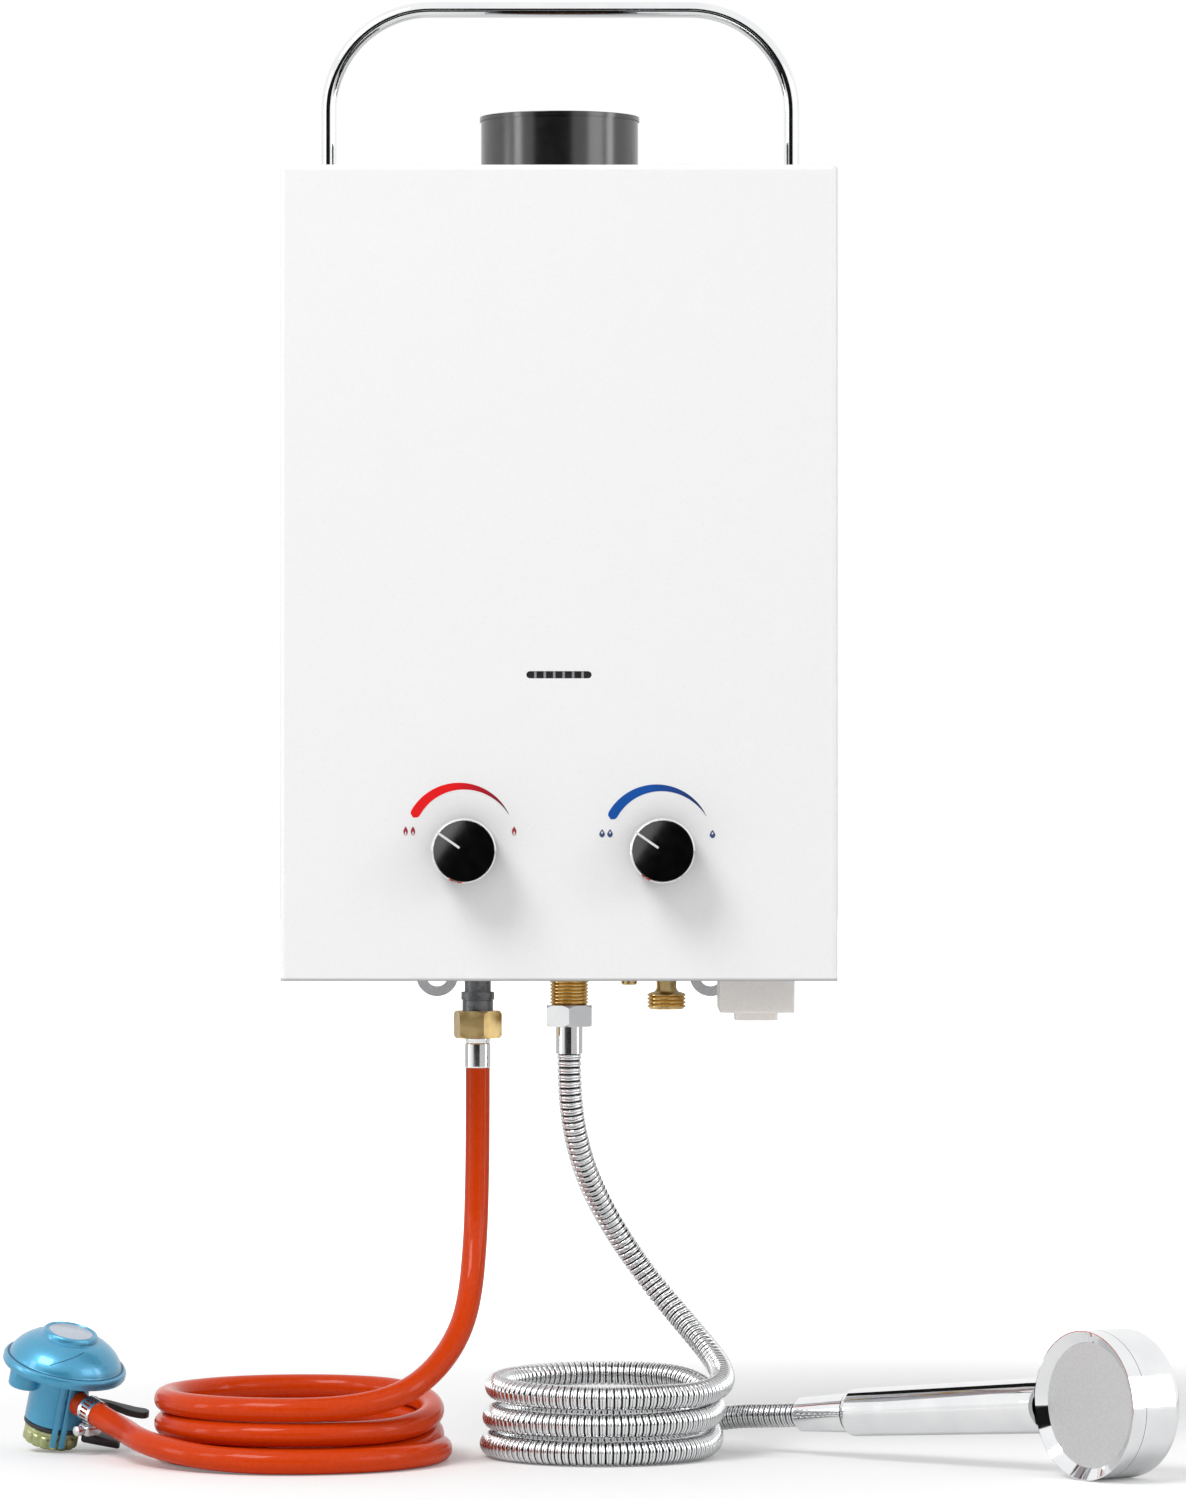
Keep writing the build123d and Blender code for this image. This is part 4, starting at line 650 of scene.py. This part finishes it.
def coil_turns(centre, radius, top, pitch, count, drop_from, drop_share, per_turn=16, spring=0, drift=0):
    """Points of stacked turns, clockwise from the front, each one lower than the last."""
    points = []
    for step in range(round(count * per_turn)):
        turn, part = divmod(step / per_turn, 1)
        ease = min(max((part - drop_from) / drop_share, 0), 1)
        fall = min(pitch * (turn + ease * ease * (3 - 2 * ease)), pitch * int(count))
        angle = 2 * pi * part
        # the spline runs inside its points, so they stand a little further out
        out = radius / (0.75 + 0.25 * cos(2 * pi / per_turn))
        # the top turn may spring up at the back, and each turn lies a little further over
        rise = spring * sin(pi * part) ** 2 if turn == 0 else 0
        aside = drift * (1 - step / per_turn)
        points.append((centre[0] + aside - out * sin(angle), centre[1] - out * cos(angle), top - fall + rise))
    return points


gas_route = [
    (gas_inlet_x, core_y, ferrule_bottom),
    (gas_inlet_x, core_y, -0.488),
    (-0.0448, -0.073, -0.528),
    (-0.0459, -0.08, -0.549),
    (-0.0475, -0.091, -0.567),
    (-0.0509, -0.105, -0.583),
    (-0.058, -0.12, -0.597),
    (-0.0678, -0.136, -0.608),
    (-0.0795, -0.151, -0.616),
    (-0.0955, -0.163, -0.621),
    (-0.1155, -0.1705, -0.6236),
]
gas_route += coil_turns(
    centre=(-0.139, -0.102), radius=0.071, top=-0.6241, pitch=0.013, count=2.6875, drop_from=0.6,
    drop_share=0.3
)
gas_route += [
    (-0.0659, -0.0881, -0.6501),
    (-0.0621, -0.1167, -0.6501),
    (-0.0699, -0.1459, -0.6501),
    (-0.0896, -0.17, -0.6501),
    (-0.113, -0.1821, -0.6501),
    (-0.1384, -0.1869, -0.6501),
    (-0.1615, -0.1848, -0.6499),
    (-0.185, -0.1745, -0.6488),
    (-0.206, -0.1575, -0.6464),
    (-0.2225, -0.1365, -0.6432),
    (-0.2315, -0.1095, -0.6408),
    (-0.24083, -0.09165, -0.63794),
    (-0.25888, -0.07337, -0.62962),
]


def route_curve(name, points):
    """A smooth open spline with these control points."""
    data = bpy.data.curves.new(name, "CURVE")
    data.dimensions = "3D"
    spline = data.splines.new("NURBS")
    spline.points.add(len(points) - 1)
    for point, place in zip(spline.points, points):
        point.co = (*place, 1)
    spline.order_u = 3
    spline.use_endpoint_u = True
    spline.resolution_u = 8
    piece = bpy.data.objects.new(name, data)
    bpy.context.collection.objects.link(piece)
    return piece


rubber = finish(
    "orange_rubber", (0.62, 0.047, 0.002), (0.66, 0.053, 0.003), rough=0.22, grain=420, spread=0.04
)
set_shader(rubber, {"Specular IOR Level": 0.05, "Coat Weight": 0.22, "Coat Roughness": 0.06})
gas_hose = route_curve("gas_hose", gas_route)
gas_hose.data.bevel_depth = gas_hose_diameter / 2
gas_hose.data.bevel_resolution = 8
gas_hose.data.use_fill_caps = True
fit(gas_hose, "heater", rubber)
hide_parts("gas_hose_drop", "gas_hose_coil", "gas_hose_tail")

coat(brass, "gas_hose_nut")
ferrule_rings = [
    (0.0062, -0.433), (0.0067, -0.4333), (0.0067, -0.4345), (0.0064, -0.435), (0.0064, -0.4356),
    (0.0069, -0.4362), (0.0069, -0.4364), (0.0069, -0.4482), (0.0069, -0.4484), (0.0068, -0.4489),
    (0.0065, -0.4491),
]
gas_ferrule = turned("gas_ferrule", ferrule_rings)
gas_ferrule.location = (gas_inlet_x, core_y, 0)
apply_place(gas_ferrule)
fit(gas_ferrule, "heater", chrome)
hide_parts("gas_hose_ferrule")

# ---------------------------------------------------------------- regulator
# The die-cast regulator is painted metallic blue, with a crimped bonnet and a bare silver
# disc on its cap.  A yellow-passivated ring and a black lever hold it on the bottle.
bottle_ring_radius = 0.015
lean, lean_side = radians(18), radians(40)
regulator_axis = Vector((sin(lean) * sin(lean_side), -sin(lean) * cos(lean_side), cos(lean)))
regulator_base = Vector((-0.276, -0.055, ground + bottle_ring_radius * sin(lean)))
level = Vector((1, 0, 0))
regulator_side = (level - regulator_axis * level.dot(regulator_axis)).normalized()
regulator_turn = Matrix((regulator_side, regulator_axis.cross(regulator_side), regulator_axis)).transposed()


def on_regulator(piece, body, material, replaced=()):
    """Stand a piece made upright at the origin on the regulator's leaning axis."""
    piece.matrix_world = Matrix.Translation(regulator_base) @ regulator_turn.to_4x4()
    apply_place(piece)
    fit(piece, body, material)
    if replaced:
        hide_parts(*replaced)


def thicken(piece, thickness, offset=0):
    """Give a sheet its thickness."""
    wall = piece.modifiers.new("thickness", "SOLIDIFY")
    wall.thickness = thickness
    wall.offset = offset
    select_only(piece)
    bpy.ops.object.modifier_apply(modifier="thickness")


blue_paint = finish(
    "metallic_blue", (0.05, 0.3, 0.5), (0.075, 0.38, 0.6),
    metallic=0.5, rough=0.34, grain=3000, dent=0.00002
)
set_shader(blue_paint, {"Coat Weight": 0.6})
olive = finish(
    "yellow_passivate", (0.4, 0.44, 0.2), (0.6, 0.6, 0.34),
    metallic=1, rough=0.35, grain=160, dent=0.00003, spread=0.14
)
silver_disc = finish(
    "silver_disc", (0.5, 0.55, 0.62), (0.58, 0.63, 0.7), metallic=0.7, rough=0.35, grain=1200
)

bonnet_rings = [
    (0.0305, 0.0424), (0.033, 0.0427), (0.0335, 0.0436), (0.0335, 0.0462), (0.0329, 0.0474),
    (0.0318, 0.0479), (0.0312, 0.0474), (0.0306, 0.0479), (0.0303, 0.0489), (0.0293, 0.0512),
    (0.0272, 0.0541), (0.0246, 0.0565), (0.0216, 0.0586), (0.0188, 0.06), (0.0166, 0.0608),
    (0.0158, 0.0609), (0.0152, 0.0614), (0.0149, 0.0634), (0.0143, 0.0641), (0.0131, 0.0644),
    (0.0127, 0.0638), (0.012, 0.0637),
]
bonnet = turned("regulator_dome", bonnet_rings, 72)
on_regulator(bonnet, "heater", blue_paint, ("regulator_bonnet",))

# painted shade: a dark ring lies in the rim's groove, and a dark strip along a crease that curls across the
# dome's front
seam = turned("regulator_seam", [(0.0306, 0.0472), (0.0317, 0.0472), (0.0317, 0.0479), (0.0306, 0.048)], 72)
painted_crease_shade = finish("painted_shade_blue", (0.012, 0.07, 0.13), (0.02, 0.1, 0.18), metallic=0.3, rough=0.4, grain=900)
on_regulator(seam, "heater", painted_crease_shade)
clear()
bpy.ops.mesh.primitive_grid_add(x_subdivisions=24, y_subdivisions=2, size=1)
crease = bpy.context.object
crease.name = "regulator_crease"
crease_start, crease_sweep = radians(-105), radians(43)
crease_outer, crease_inner, crease_width = 0.0285, 0.0195, 0.0005
dome_rings = [ring for ring in bonnet_rings if 0.049 < ring[1] < 0.0601]
for vertex in crease.data.vertices:
    share = vertex.co.x + 0.5
    radius = crease_outer + (crease_inner - crease_outer) * share
    for (outer, low), (inner, high) in zip(dome_rings, dome_rings[1:]):
        if inner <= radius <= outer:
            height = low + (high - low) * (outer - radius) / (outer - inner)
    angle = crease_start + crease_sweep * share + vertex.co.y * crease_width / radius
    vertex.co = (radius * cos(angle), radius * sin(angle), height)
thicken(crease, 0.0004)
bpy.ops.object.shade_smooth_by_angle(angle=sharp_angle)
on_regulator(crease, "heater", painted_crease_shade)
disc = turned("regulator_disc", [(0.0118, 0.0636), (0.0118, 0.0639), (0.0115, 0.0641)], 64)
on_regulator(disc, "heater", silver_disc)

body_rings = [
    (0.013, 0.01), (0.013, 0.0126), (0.0155, 0.0126), (0.016, 0.0131), (0.016, 0.0365),
    (0.0164, 0.0374), (0.0185, 0.0383), (0.0245, 0.0404), (0.0298, 0.0422), (0.0303, 0.0425),
]
body = turned("regulator_neck", body_rings, 64)
on_regulator(body, "heater", blue_paint, ("regulator_body",))
for number, rib_angle in enumerate((-67, -83), 1):
    clear()
    bpy.ops.mesh.primitive_cube_add(size=1)
    rib = bpy.context.object
    rib.name = f"regulator_rib_{number}"
    rib.scale = (0.0024, 0.0034, 0.0252)
    rib.location = (0.0168, 0, 0.0254)
    apply_place(rib)
    # its foot stands clear of the switch ring and the bottle ring
    bpy.ops.object.mode_set(mode="EDIT")
    bpy.ops.mesh.select_all(action="DESELECT")
    mesh = bmesh.from_edit_mesh(rib.data)
    for face in mesh.faces:
        face.select_set(face.normal.z < -0.9)
    bmesh.update_edit_mesh(rib.data)
    bpy.ops.mesh.extrude_region_move(TRANSFORM_OT_translate={"value": (0, 0, 0)})
    bpy.ops.transform.resize(value=(0.65, 1, 1), center_override=(0.018, 0, 0.0128))
    bpy.ops.mesh.extrude_region_move(TRANSFORM_OT_translate={"value": (0, 0, -0.0098)})
    bpy.ops.mesh.select_all(action="SELECT")
    bpy.ops.mesh.remove_doubles(threshold=0.000001)
    bpy.ops.object.mode_set(mode="OBJECT")
    soften(rib, 0.0005)
    rib.rotation_euler = (0, 0, radians(rib_angle))
    apply_place(rib)
    on_regulator(rib, "heater", blue_paint)
clear()
bpy.ops.mesh.primitive_cylinder_add(
    vertices=40, radius=0.0085, depth=0.012, location=(-0.0195, -0.005, 0.0362)
)
lobe = bpy.context.object
lobe.name = "regulator_lobe"
apply_place(lobe)
soften(lobe, 0.0015, 3)
on_regulator(lobe, "heater", blue_paint)

nozzle_turn = radians(-47)
nozzle_axis = regulator_turn @ Vector((cos(nozzle_turn), sin(nozzle_turn), 0))
nozzle_root = regulator_base + regulator_axis * 0.029
barb_rings = [(0.0074, 0.01), (0.0074, 0.0163), (0.007, 0.0167), (0.0045, 0.0167), (0.0045, 0.024)]
barb = turned("regulator_barb", barb_rings, 40)
barb.matrix_world = Matrix.Translation(nozzle_root) @ nozzle_axis.to_track_quat("Z", "X").to_matrix().to_4x4()
apply_place(barb)
fit(barb, "heater", blue_paint)

coupling_sides = 96
coupling_rings = [
    (0.0134, 0.0), (0.0146, 0.0007), (0.015, 0.0015), (0.015, 0.0062), (0.0145, 0.0068),
    (0.0145, 0.0074), (0.015, 0.0079), (0.015, 0.0096), (0.0147, 0.01),
]
coupling = turned("bottle_ring", coupling_rings, coupling_sides)
scallops, scallop_depth, scallop_top = 16, 0.0011, 0.0065
for vertex in coupling.data.vertices:
    if vertex.co.z < scallop_top:
        angle = pi + Vector((vertex.co.x, vertex.co.y)).angle_signed(Vector((1, 0)))
        dip = max(0, cos(scallops * angle)) * scallop_depth
        reach = Vector((vertex.co.x, vertex.co.y)).length
        vertex.co.x *= 1 - dip / reach
        vertex.co.y *= 1 - dip / reach
bore = turned("bore_tool", [(0.0105, -0.002), (0.0105, 0.008)], coupling_sides)
cut = coupling.modifiers.new("bore", "BOOLEAN")
cut.object = bore
cut.solver = "EXACT"
select_only(coupling)
bpy.ops.object.modifier_apply(modifier="bore")
bpy.data.objects.remove(bore)
bpy.ops.object.shade_smooth_by_angle(angle=sharp_angle)
on_regulator(coupling, "heater", olive, ("regulator_coupling",))

lever_ring = turned("lever_ring", [(0.0157, 0.0103), (0.016, 0.0106), (0.016, 0.012), (0.0157, 0.0123)], 56)
on_regulator(lever_ring, "regulator_switch", black_plastic, ("regulator_lever",))
clear()
bpy.ops.mesh.primitive_cube_add(size=1, location=(0.0188, 0, 0.0178))
lever_block = bpy.context.object
lever_block.name = "lever_block"
lever_block.scale = (0.005, 0.01, 0.0224)
apply_place(lever_block)
bpy.ops.object.mode_set(mode="EDIT")
bpy.ops.mesh.select_all(action="DESELECT")
mesh = bmesh.from_edit_mesh(lever_block.data)
for face in mesh.faces:
    face.select_set(face.normal.x > 0.9)
bmesh.update_edit_mesh(lever_block.data)
# its outer face is a little smaller, as a thumb pad
bpy.ops.transform.resize(value=(1, 0.72, 0.86), center_override=(0.0213, 0, 0.0178))
bpy.ops.object.mode_set(mode="OBJECT")
soften(lever_block, 0.0012, 3)
on_regulator(lever_block, "regulator_switch", black_plastic)

# the arm has a waist near its root, a slight wave and a round tip
arm_root, arm_length, arm_height = 0.0192, 0.0306, 0.0266
arm_width, waist = 0.0086, 0.003
tip_start, tip_share = 0.88, 0.125
clear()
bpy.ops.mesh.primitive_grid_add(x_subdivisions=18, y_subdivisions=4, size=1)
lever_arm = bpy.context.object
lever_arm.name = "lever_arm"
for vertex in lever_arm.data.vertices:
    share = vertex.co.x + 0.5
    width = arm_width - waist * sin(pi * min(share * 1.6, 1))
    if share > tip_start:
        width *= sqrt(max(1 - ((share - tip_start) / tip_share) ** 2, 0.05))
    rise = arm_height + 0.0006 * sin(2 * pi * share) - 0.0004 * share
    vertex.co = (arm_root + arm_length * share, vertex.co.y * width, rise)
thicken(lever_arm, 0.0036)
soften(lever_arm, 0.0008, 3)
on_regulator(lever_arm, "regulator_switch", black_plastic)
clear()
bpy.ops.mesh.primitive_cube_add(size=1, location=(0.0272, 0, 0.0095))
lever_foot = bpy.context.object
lever_foot.name = "lever_foot"
lever_foot.scale = (0.0216, 0.0216, 0.0058)
apply_place(lever_foot)
# its top slopes down to the outer end
for vertex in lever_foot.data.vertices:
    if vertex.co.x > 0.027 and vertex.co.z > 0.0095:
        vertex.co.z -= 0.0018
        vertex.co.x -= 0.001
soften(lever_foot, 0.0016, 3)
on_regulator(lever_foot, "regulator_switch", black_plastic)

# ---------------------------------------------------------------- hose clamp
# A band of bright steel with a row of slots goes round the hose, with its worm screw in a
# housing below.
band_radius = gas_hose_diameter / 2 + 0.0003
band_width = 0.009
band_sides = 40
half_slot = 0.0026
clear()
bpy.ops.mesh.primitive_cylinder_add(
    vertices=band_sides, radius=band_radius, depth=band_width, end_fill_type="NOTHING"
)
band = bpy.context.object
band.name = "clamp_band"
bpy.ops.object.mode_set(mode="EDIT")
mesh = bmesh.from_edit_mesh(band.data)
upright = [edge for edge in mesh.edges if abs(edge.verts[0].co.z - edge.verts[1].co.z) > 0.001]
bmesh.ops.subdivide_edges(mesh, edges=upright, cuts=2, use_grid_fill=True)
for vertex in mesh.verts:
    if abs(vertex.co.z) < 0.4 * band_width:
        vertex.co.z = half_slot if vertex.co.z > 0 else -half_slot
# every other face of the middle row is a slot
slots = []
for face in mesh.faces:
    middle = face.calc_center_median()
    sector = int(((pi + Vector((middle.x, middle.y)).angle_signed(Vector((1, 0)))) / (2 * pi)) * band_sides)
    if abs(middle.z) < 0.001 and sector % 2:
        slots.append(face)
bmesh.ops.delete(mesh, geom=slots, context="FACES")
bmesh.update_edit_mesh(band.data)
bpy.ops.object.mode_set(mode="OBJECT")
thicken(band, 0.0007, 1)
bpy.ops.object.shade_smooth_by_angle(angle=sharp_angle)
clamp_steel = finish(
    "clamp_steel", (0.62, 0.62, 0.63), (0.75, 0.75, 0.76),
    metallic=1, rough=0.24, grain=500, dent=0.00002, spread=0.12
)
clamp_centre = nozzle_root + nozzle_axis * 0.0295
clamp_turn = Matrix((regulator_axis, nozzle_axis.cross(regulator_axis), nozzle_axis)).transposed()
clamp_place = Matrix.Translation(clamp_centre) @ clamp_turn.to_4x4()


def on_clamp(piece, material):
    """Put a piece made round the Z axis on the hose clamp."""
    piece.matrix_world = clamp_place
    apply_place(piece)
    fit(piece, "heater", material)


on_clamp(band, clamp_steel)
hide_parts("hose_clamp")
screw_drop = -band_radius - 0.0034
clear()
bpy.ops.mesh.primitive_cube_add(size=1, location=(screw_drop + 0.0004, 0, 0))
housing = bpy.context.object
housing.name = "clamp_housing"
housing.scale = (0.0058, 0.011, 0.0086)
apply_place(housing)
soften(housing, 0.0016, 3)
on_clamp(housing, clamp_steel)
clear()
bpy.ops.mesh.primitive_cylinder_add(
    vertices=24, radius=0.0027, depth=0.0042, location=(screw_drop, 0.0078, 0), rotation=(radians(90), 0, 0)
)
screw = bpy.context.object
screw.name = "clamp_screw"
apply_place(screw)
soften(screw, 0.0005)
on_clamp(screw, clamp_steel)

# ---------------------------------------------------------------- shower hose
# A corrugated hose of bright steel strip hangs from a chromed hex nut and lies in three
# turns, before it goes into the cone at the foot of the hand shower.
shower_hose_diameter = 0.0135
sleeve_bottom = case_bottom - 0.0414
coat(chrome, "shower_hose_nut", "shower_hose_cone")
shower_route = [
    (hot_outlet_x, core_y, sleeve_bottom),
    (hot_outlet_x, core_y, -0.46),
    (0.0078, -0.0645, -0.4831),
    (0.0131, -0.0526, -0.5041),
    (0.0211, -0.0362, -0.5234),
    (0.0321, -0.0246, -0.543),
    (0.0457, -0.02, -0.5628),
    (0.0604, -0.0234, -0.581),
    (0.0731, -0.0332, -0.5952),
    (0.0827, -0.0478, -0.6058),
    (0.0878, -0.0662, -0.613),
    (0.0875, -0.0862, -0.6174),
    (0.082, -0.1045, -0.6197),
    (0.0724, -0.1199, -0.6209),
    (0.0589, -0.1321, -0.6207),
    (0.0435, -0.1399, -0.6207),
]
shower_route += coil_turns(
    centre=(0.024, -0.084), radius=0.05845, top=-0.62085, pitch=0.0145, count=2.5, drop_from=0.6,
    drop_share=0.22, spring=0.0035, drift=0.0014
)
shower_route += [
    (0.016, -0.026, -0.64985),
    (0.037, -0.0253, -0.6495),
    (0.0575, -0.0298, -0.6475),
    (0.077, -0.0402, -0.6425),
    (0.0955, -0.056, -0.6378),
    (0.1145, -0.072, -0.6362),
    (0.1306, -0.0839, -0.6346),
]
shower_line = route_curve("shower_line", shower_route)
line_mesh = bpy.data.meshes.new_from_object(shower_line)
line = [vertex.co.copy() for vertex in line_mesh.vertices]
bpy.data.objects.remove(shower_line)

# each ring of the hose is a rounded crest, a fine step where the strip locks, and a groove,
#  as (part of the pitch, part of the radius, how much painted shade darkens it)
ring_pitch = 0.0036
ring_steps = (
    (0.0, 0.85, 1), (0.1, 0.87, 1), (0.17, 0.965, 0), (0.32, 1.0, 0), (0.5, 0.985, 0),
    (0.56, 0.935, 0.9), (0.62, 0.95, 0.3), (0.71, 0.975, 0), (0.85, 0.96, 0), (0.91, 0.88, 1),
)
hose_sides = 18
reach = [0.0]
for before, after in zip(line, line[1:]):
    reach.append(reach[-1] + (after - before).length)
stations = []
ring_count = int(reach[-1] / ring_pitch)
for ring in range(ring_count):
    for step, share, groove_shade in ring_steps:
        stations.append(((ring + step) * reach[-1] / ring_count, share * shower_hose_diameter / 2, groove_shade))
stations.append((reach[-1], stations[0][1], 1))
tube_points, tube_faces, groove_shades = [], [], []
leg = 0
side = Vector((1, 0, 0))
for distance, radius, groove_shade in stations:
    while leg < len(line) - 2 and reach[leg + 1] < distance:
        leg += 1
    share = (distance - reach[leg]) / (reach[leg + 1] - reach[leg])
    centre = line[leg].lerp(line[leg + 1], share)
    before = line[max(leg - 1, 0)]
    after = line[min(leg + 2, len(line) - 1)]
    way = (line[leg + 1] - before).lerp(after - line[leg], share).normalized()
    side = (side - way * side.dot(way)).normalized()
    other = way.cross(side)
    for corner in range(hose_sides):
        angle = 2 * pi * corner / hose_sides
        tube_points.append(centre + (side * cos(angle) + other * sin(angle)) * radius)
        groove_shades.append(groove_shade)
for station in range(len(stations) - 1):
    for corner in range(hose_sides):
        here, next_corner = station * hose_sides + corner, station * hose_sides + (corner + 1) % hose_sides
        tube_faces.append((here, next_corner, next_corner + hose_sides, here + hose_sides))
tube_faces.append(tuple(reversed(range(hose_sides))))
tube_faces.append(tuple(range((len(stations) - 1) * hose_sides, len(stations) * hose_sides)))
shower_mesh = bpy.data.meshes.new("shower_hose")
shower_mesh.from_pydata(tube_points, [], tube_faces)
shower_mesh.shade_smooth()
shower_hose = bpy.data.objects.new("shower_hose", shower_mesh)
bpy.context.collection.objects.link(shower_hose)
groove_shade_layer = shower_mesh.attributes.new("groove_shade", "FLOAT", "POINT")
groove_shade_layer.data.foreach_set("value", groove_shades)
hose_steel = finish(
    "hose_steel", (0.82, 0.83, 0.84), (0.9, 0.905, 0.91), metallic=1, rough=0.16, grain=700, spread=0.06
)
# painted shade: the steel turns near black in the grooves between the rings
painted_groove_shade = hose_steel.node_tree.nodes.new("ShaderNodeAttribute")
painted_groove_shade.attribute_name = "groove_shade"
blend_colour(hose_steel, painted_groove_shade.outputs["Fac"], (0.02, 0.02, 0.022))
fit(shower_hose, "heater", hose_steel)
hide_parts("shower_hose_drop", "shower_hose_coil", "shower_hose_tail")

# ---------------------------------------------------------------- hand shower
# The chrome-plated hand shower has a smooth round handle and a drum head.  Its polished
# ring turns, and holds a frosted grey spray plate.
frosted = finish(
    "frosted_plate", (0.52, 0.525, 0.53), (0.59, 0.595, 0.6),
    metallic=0.5, rough=0.42, grain=900, dent=0.00002
)
coat(chrome, "shower_handle", "shower_head", "shower_face_ring")
coat(frosted, "shower_face_plate")
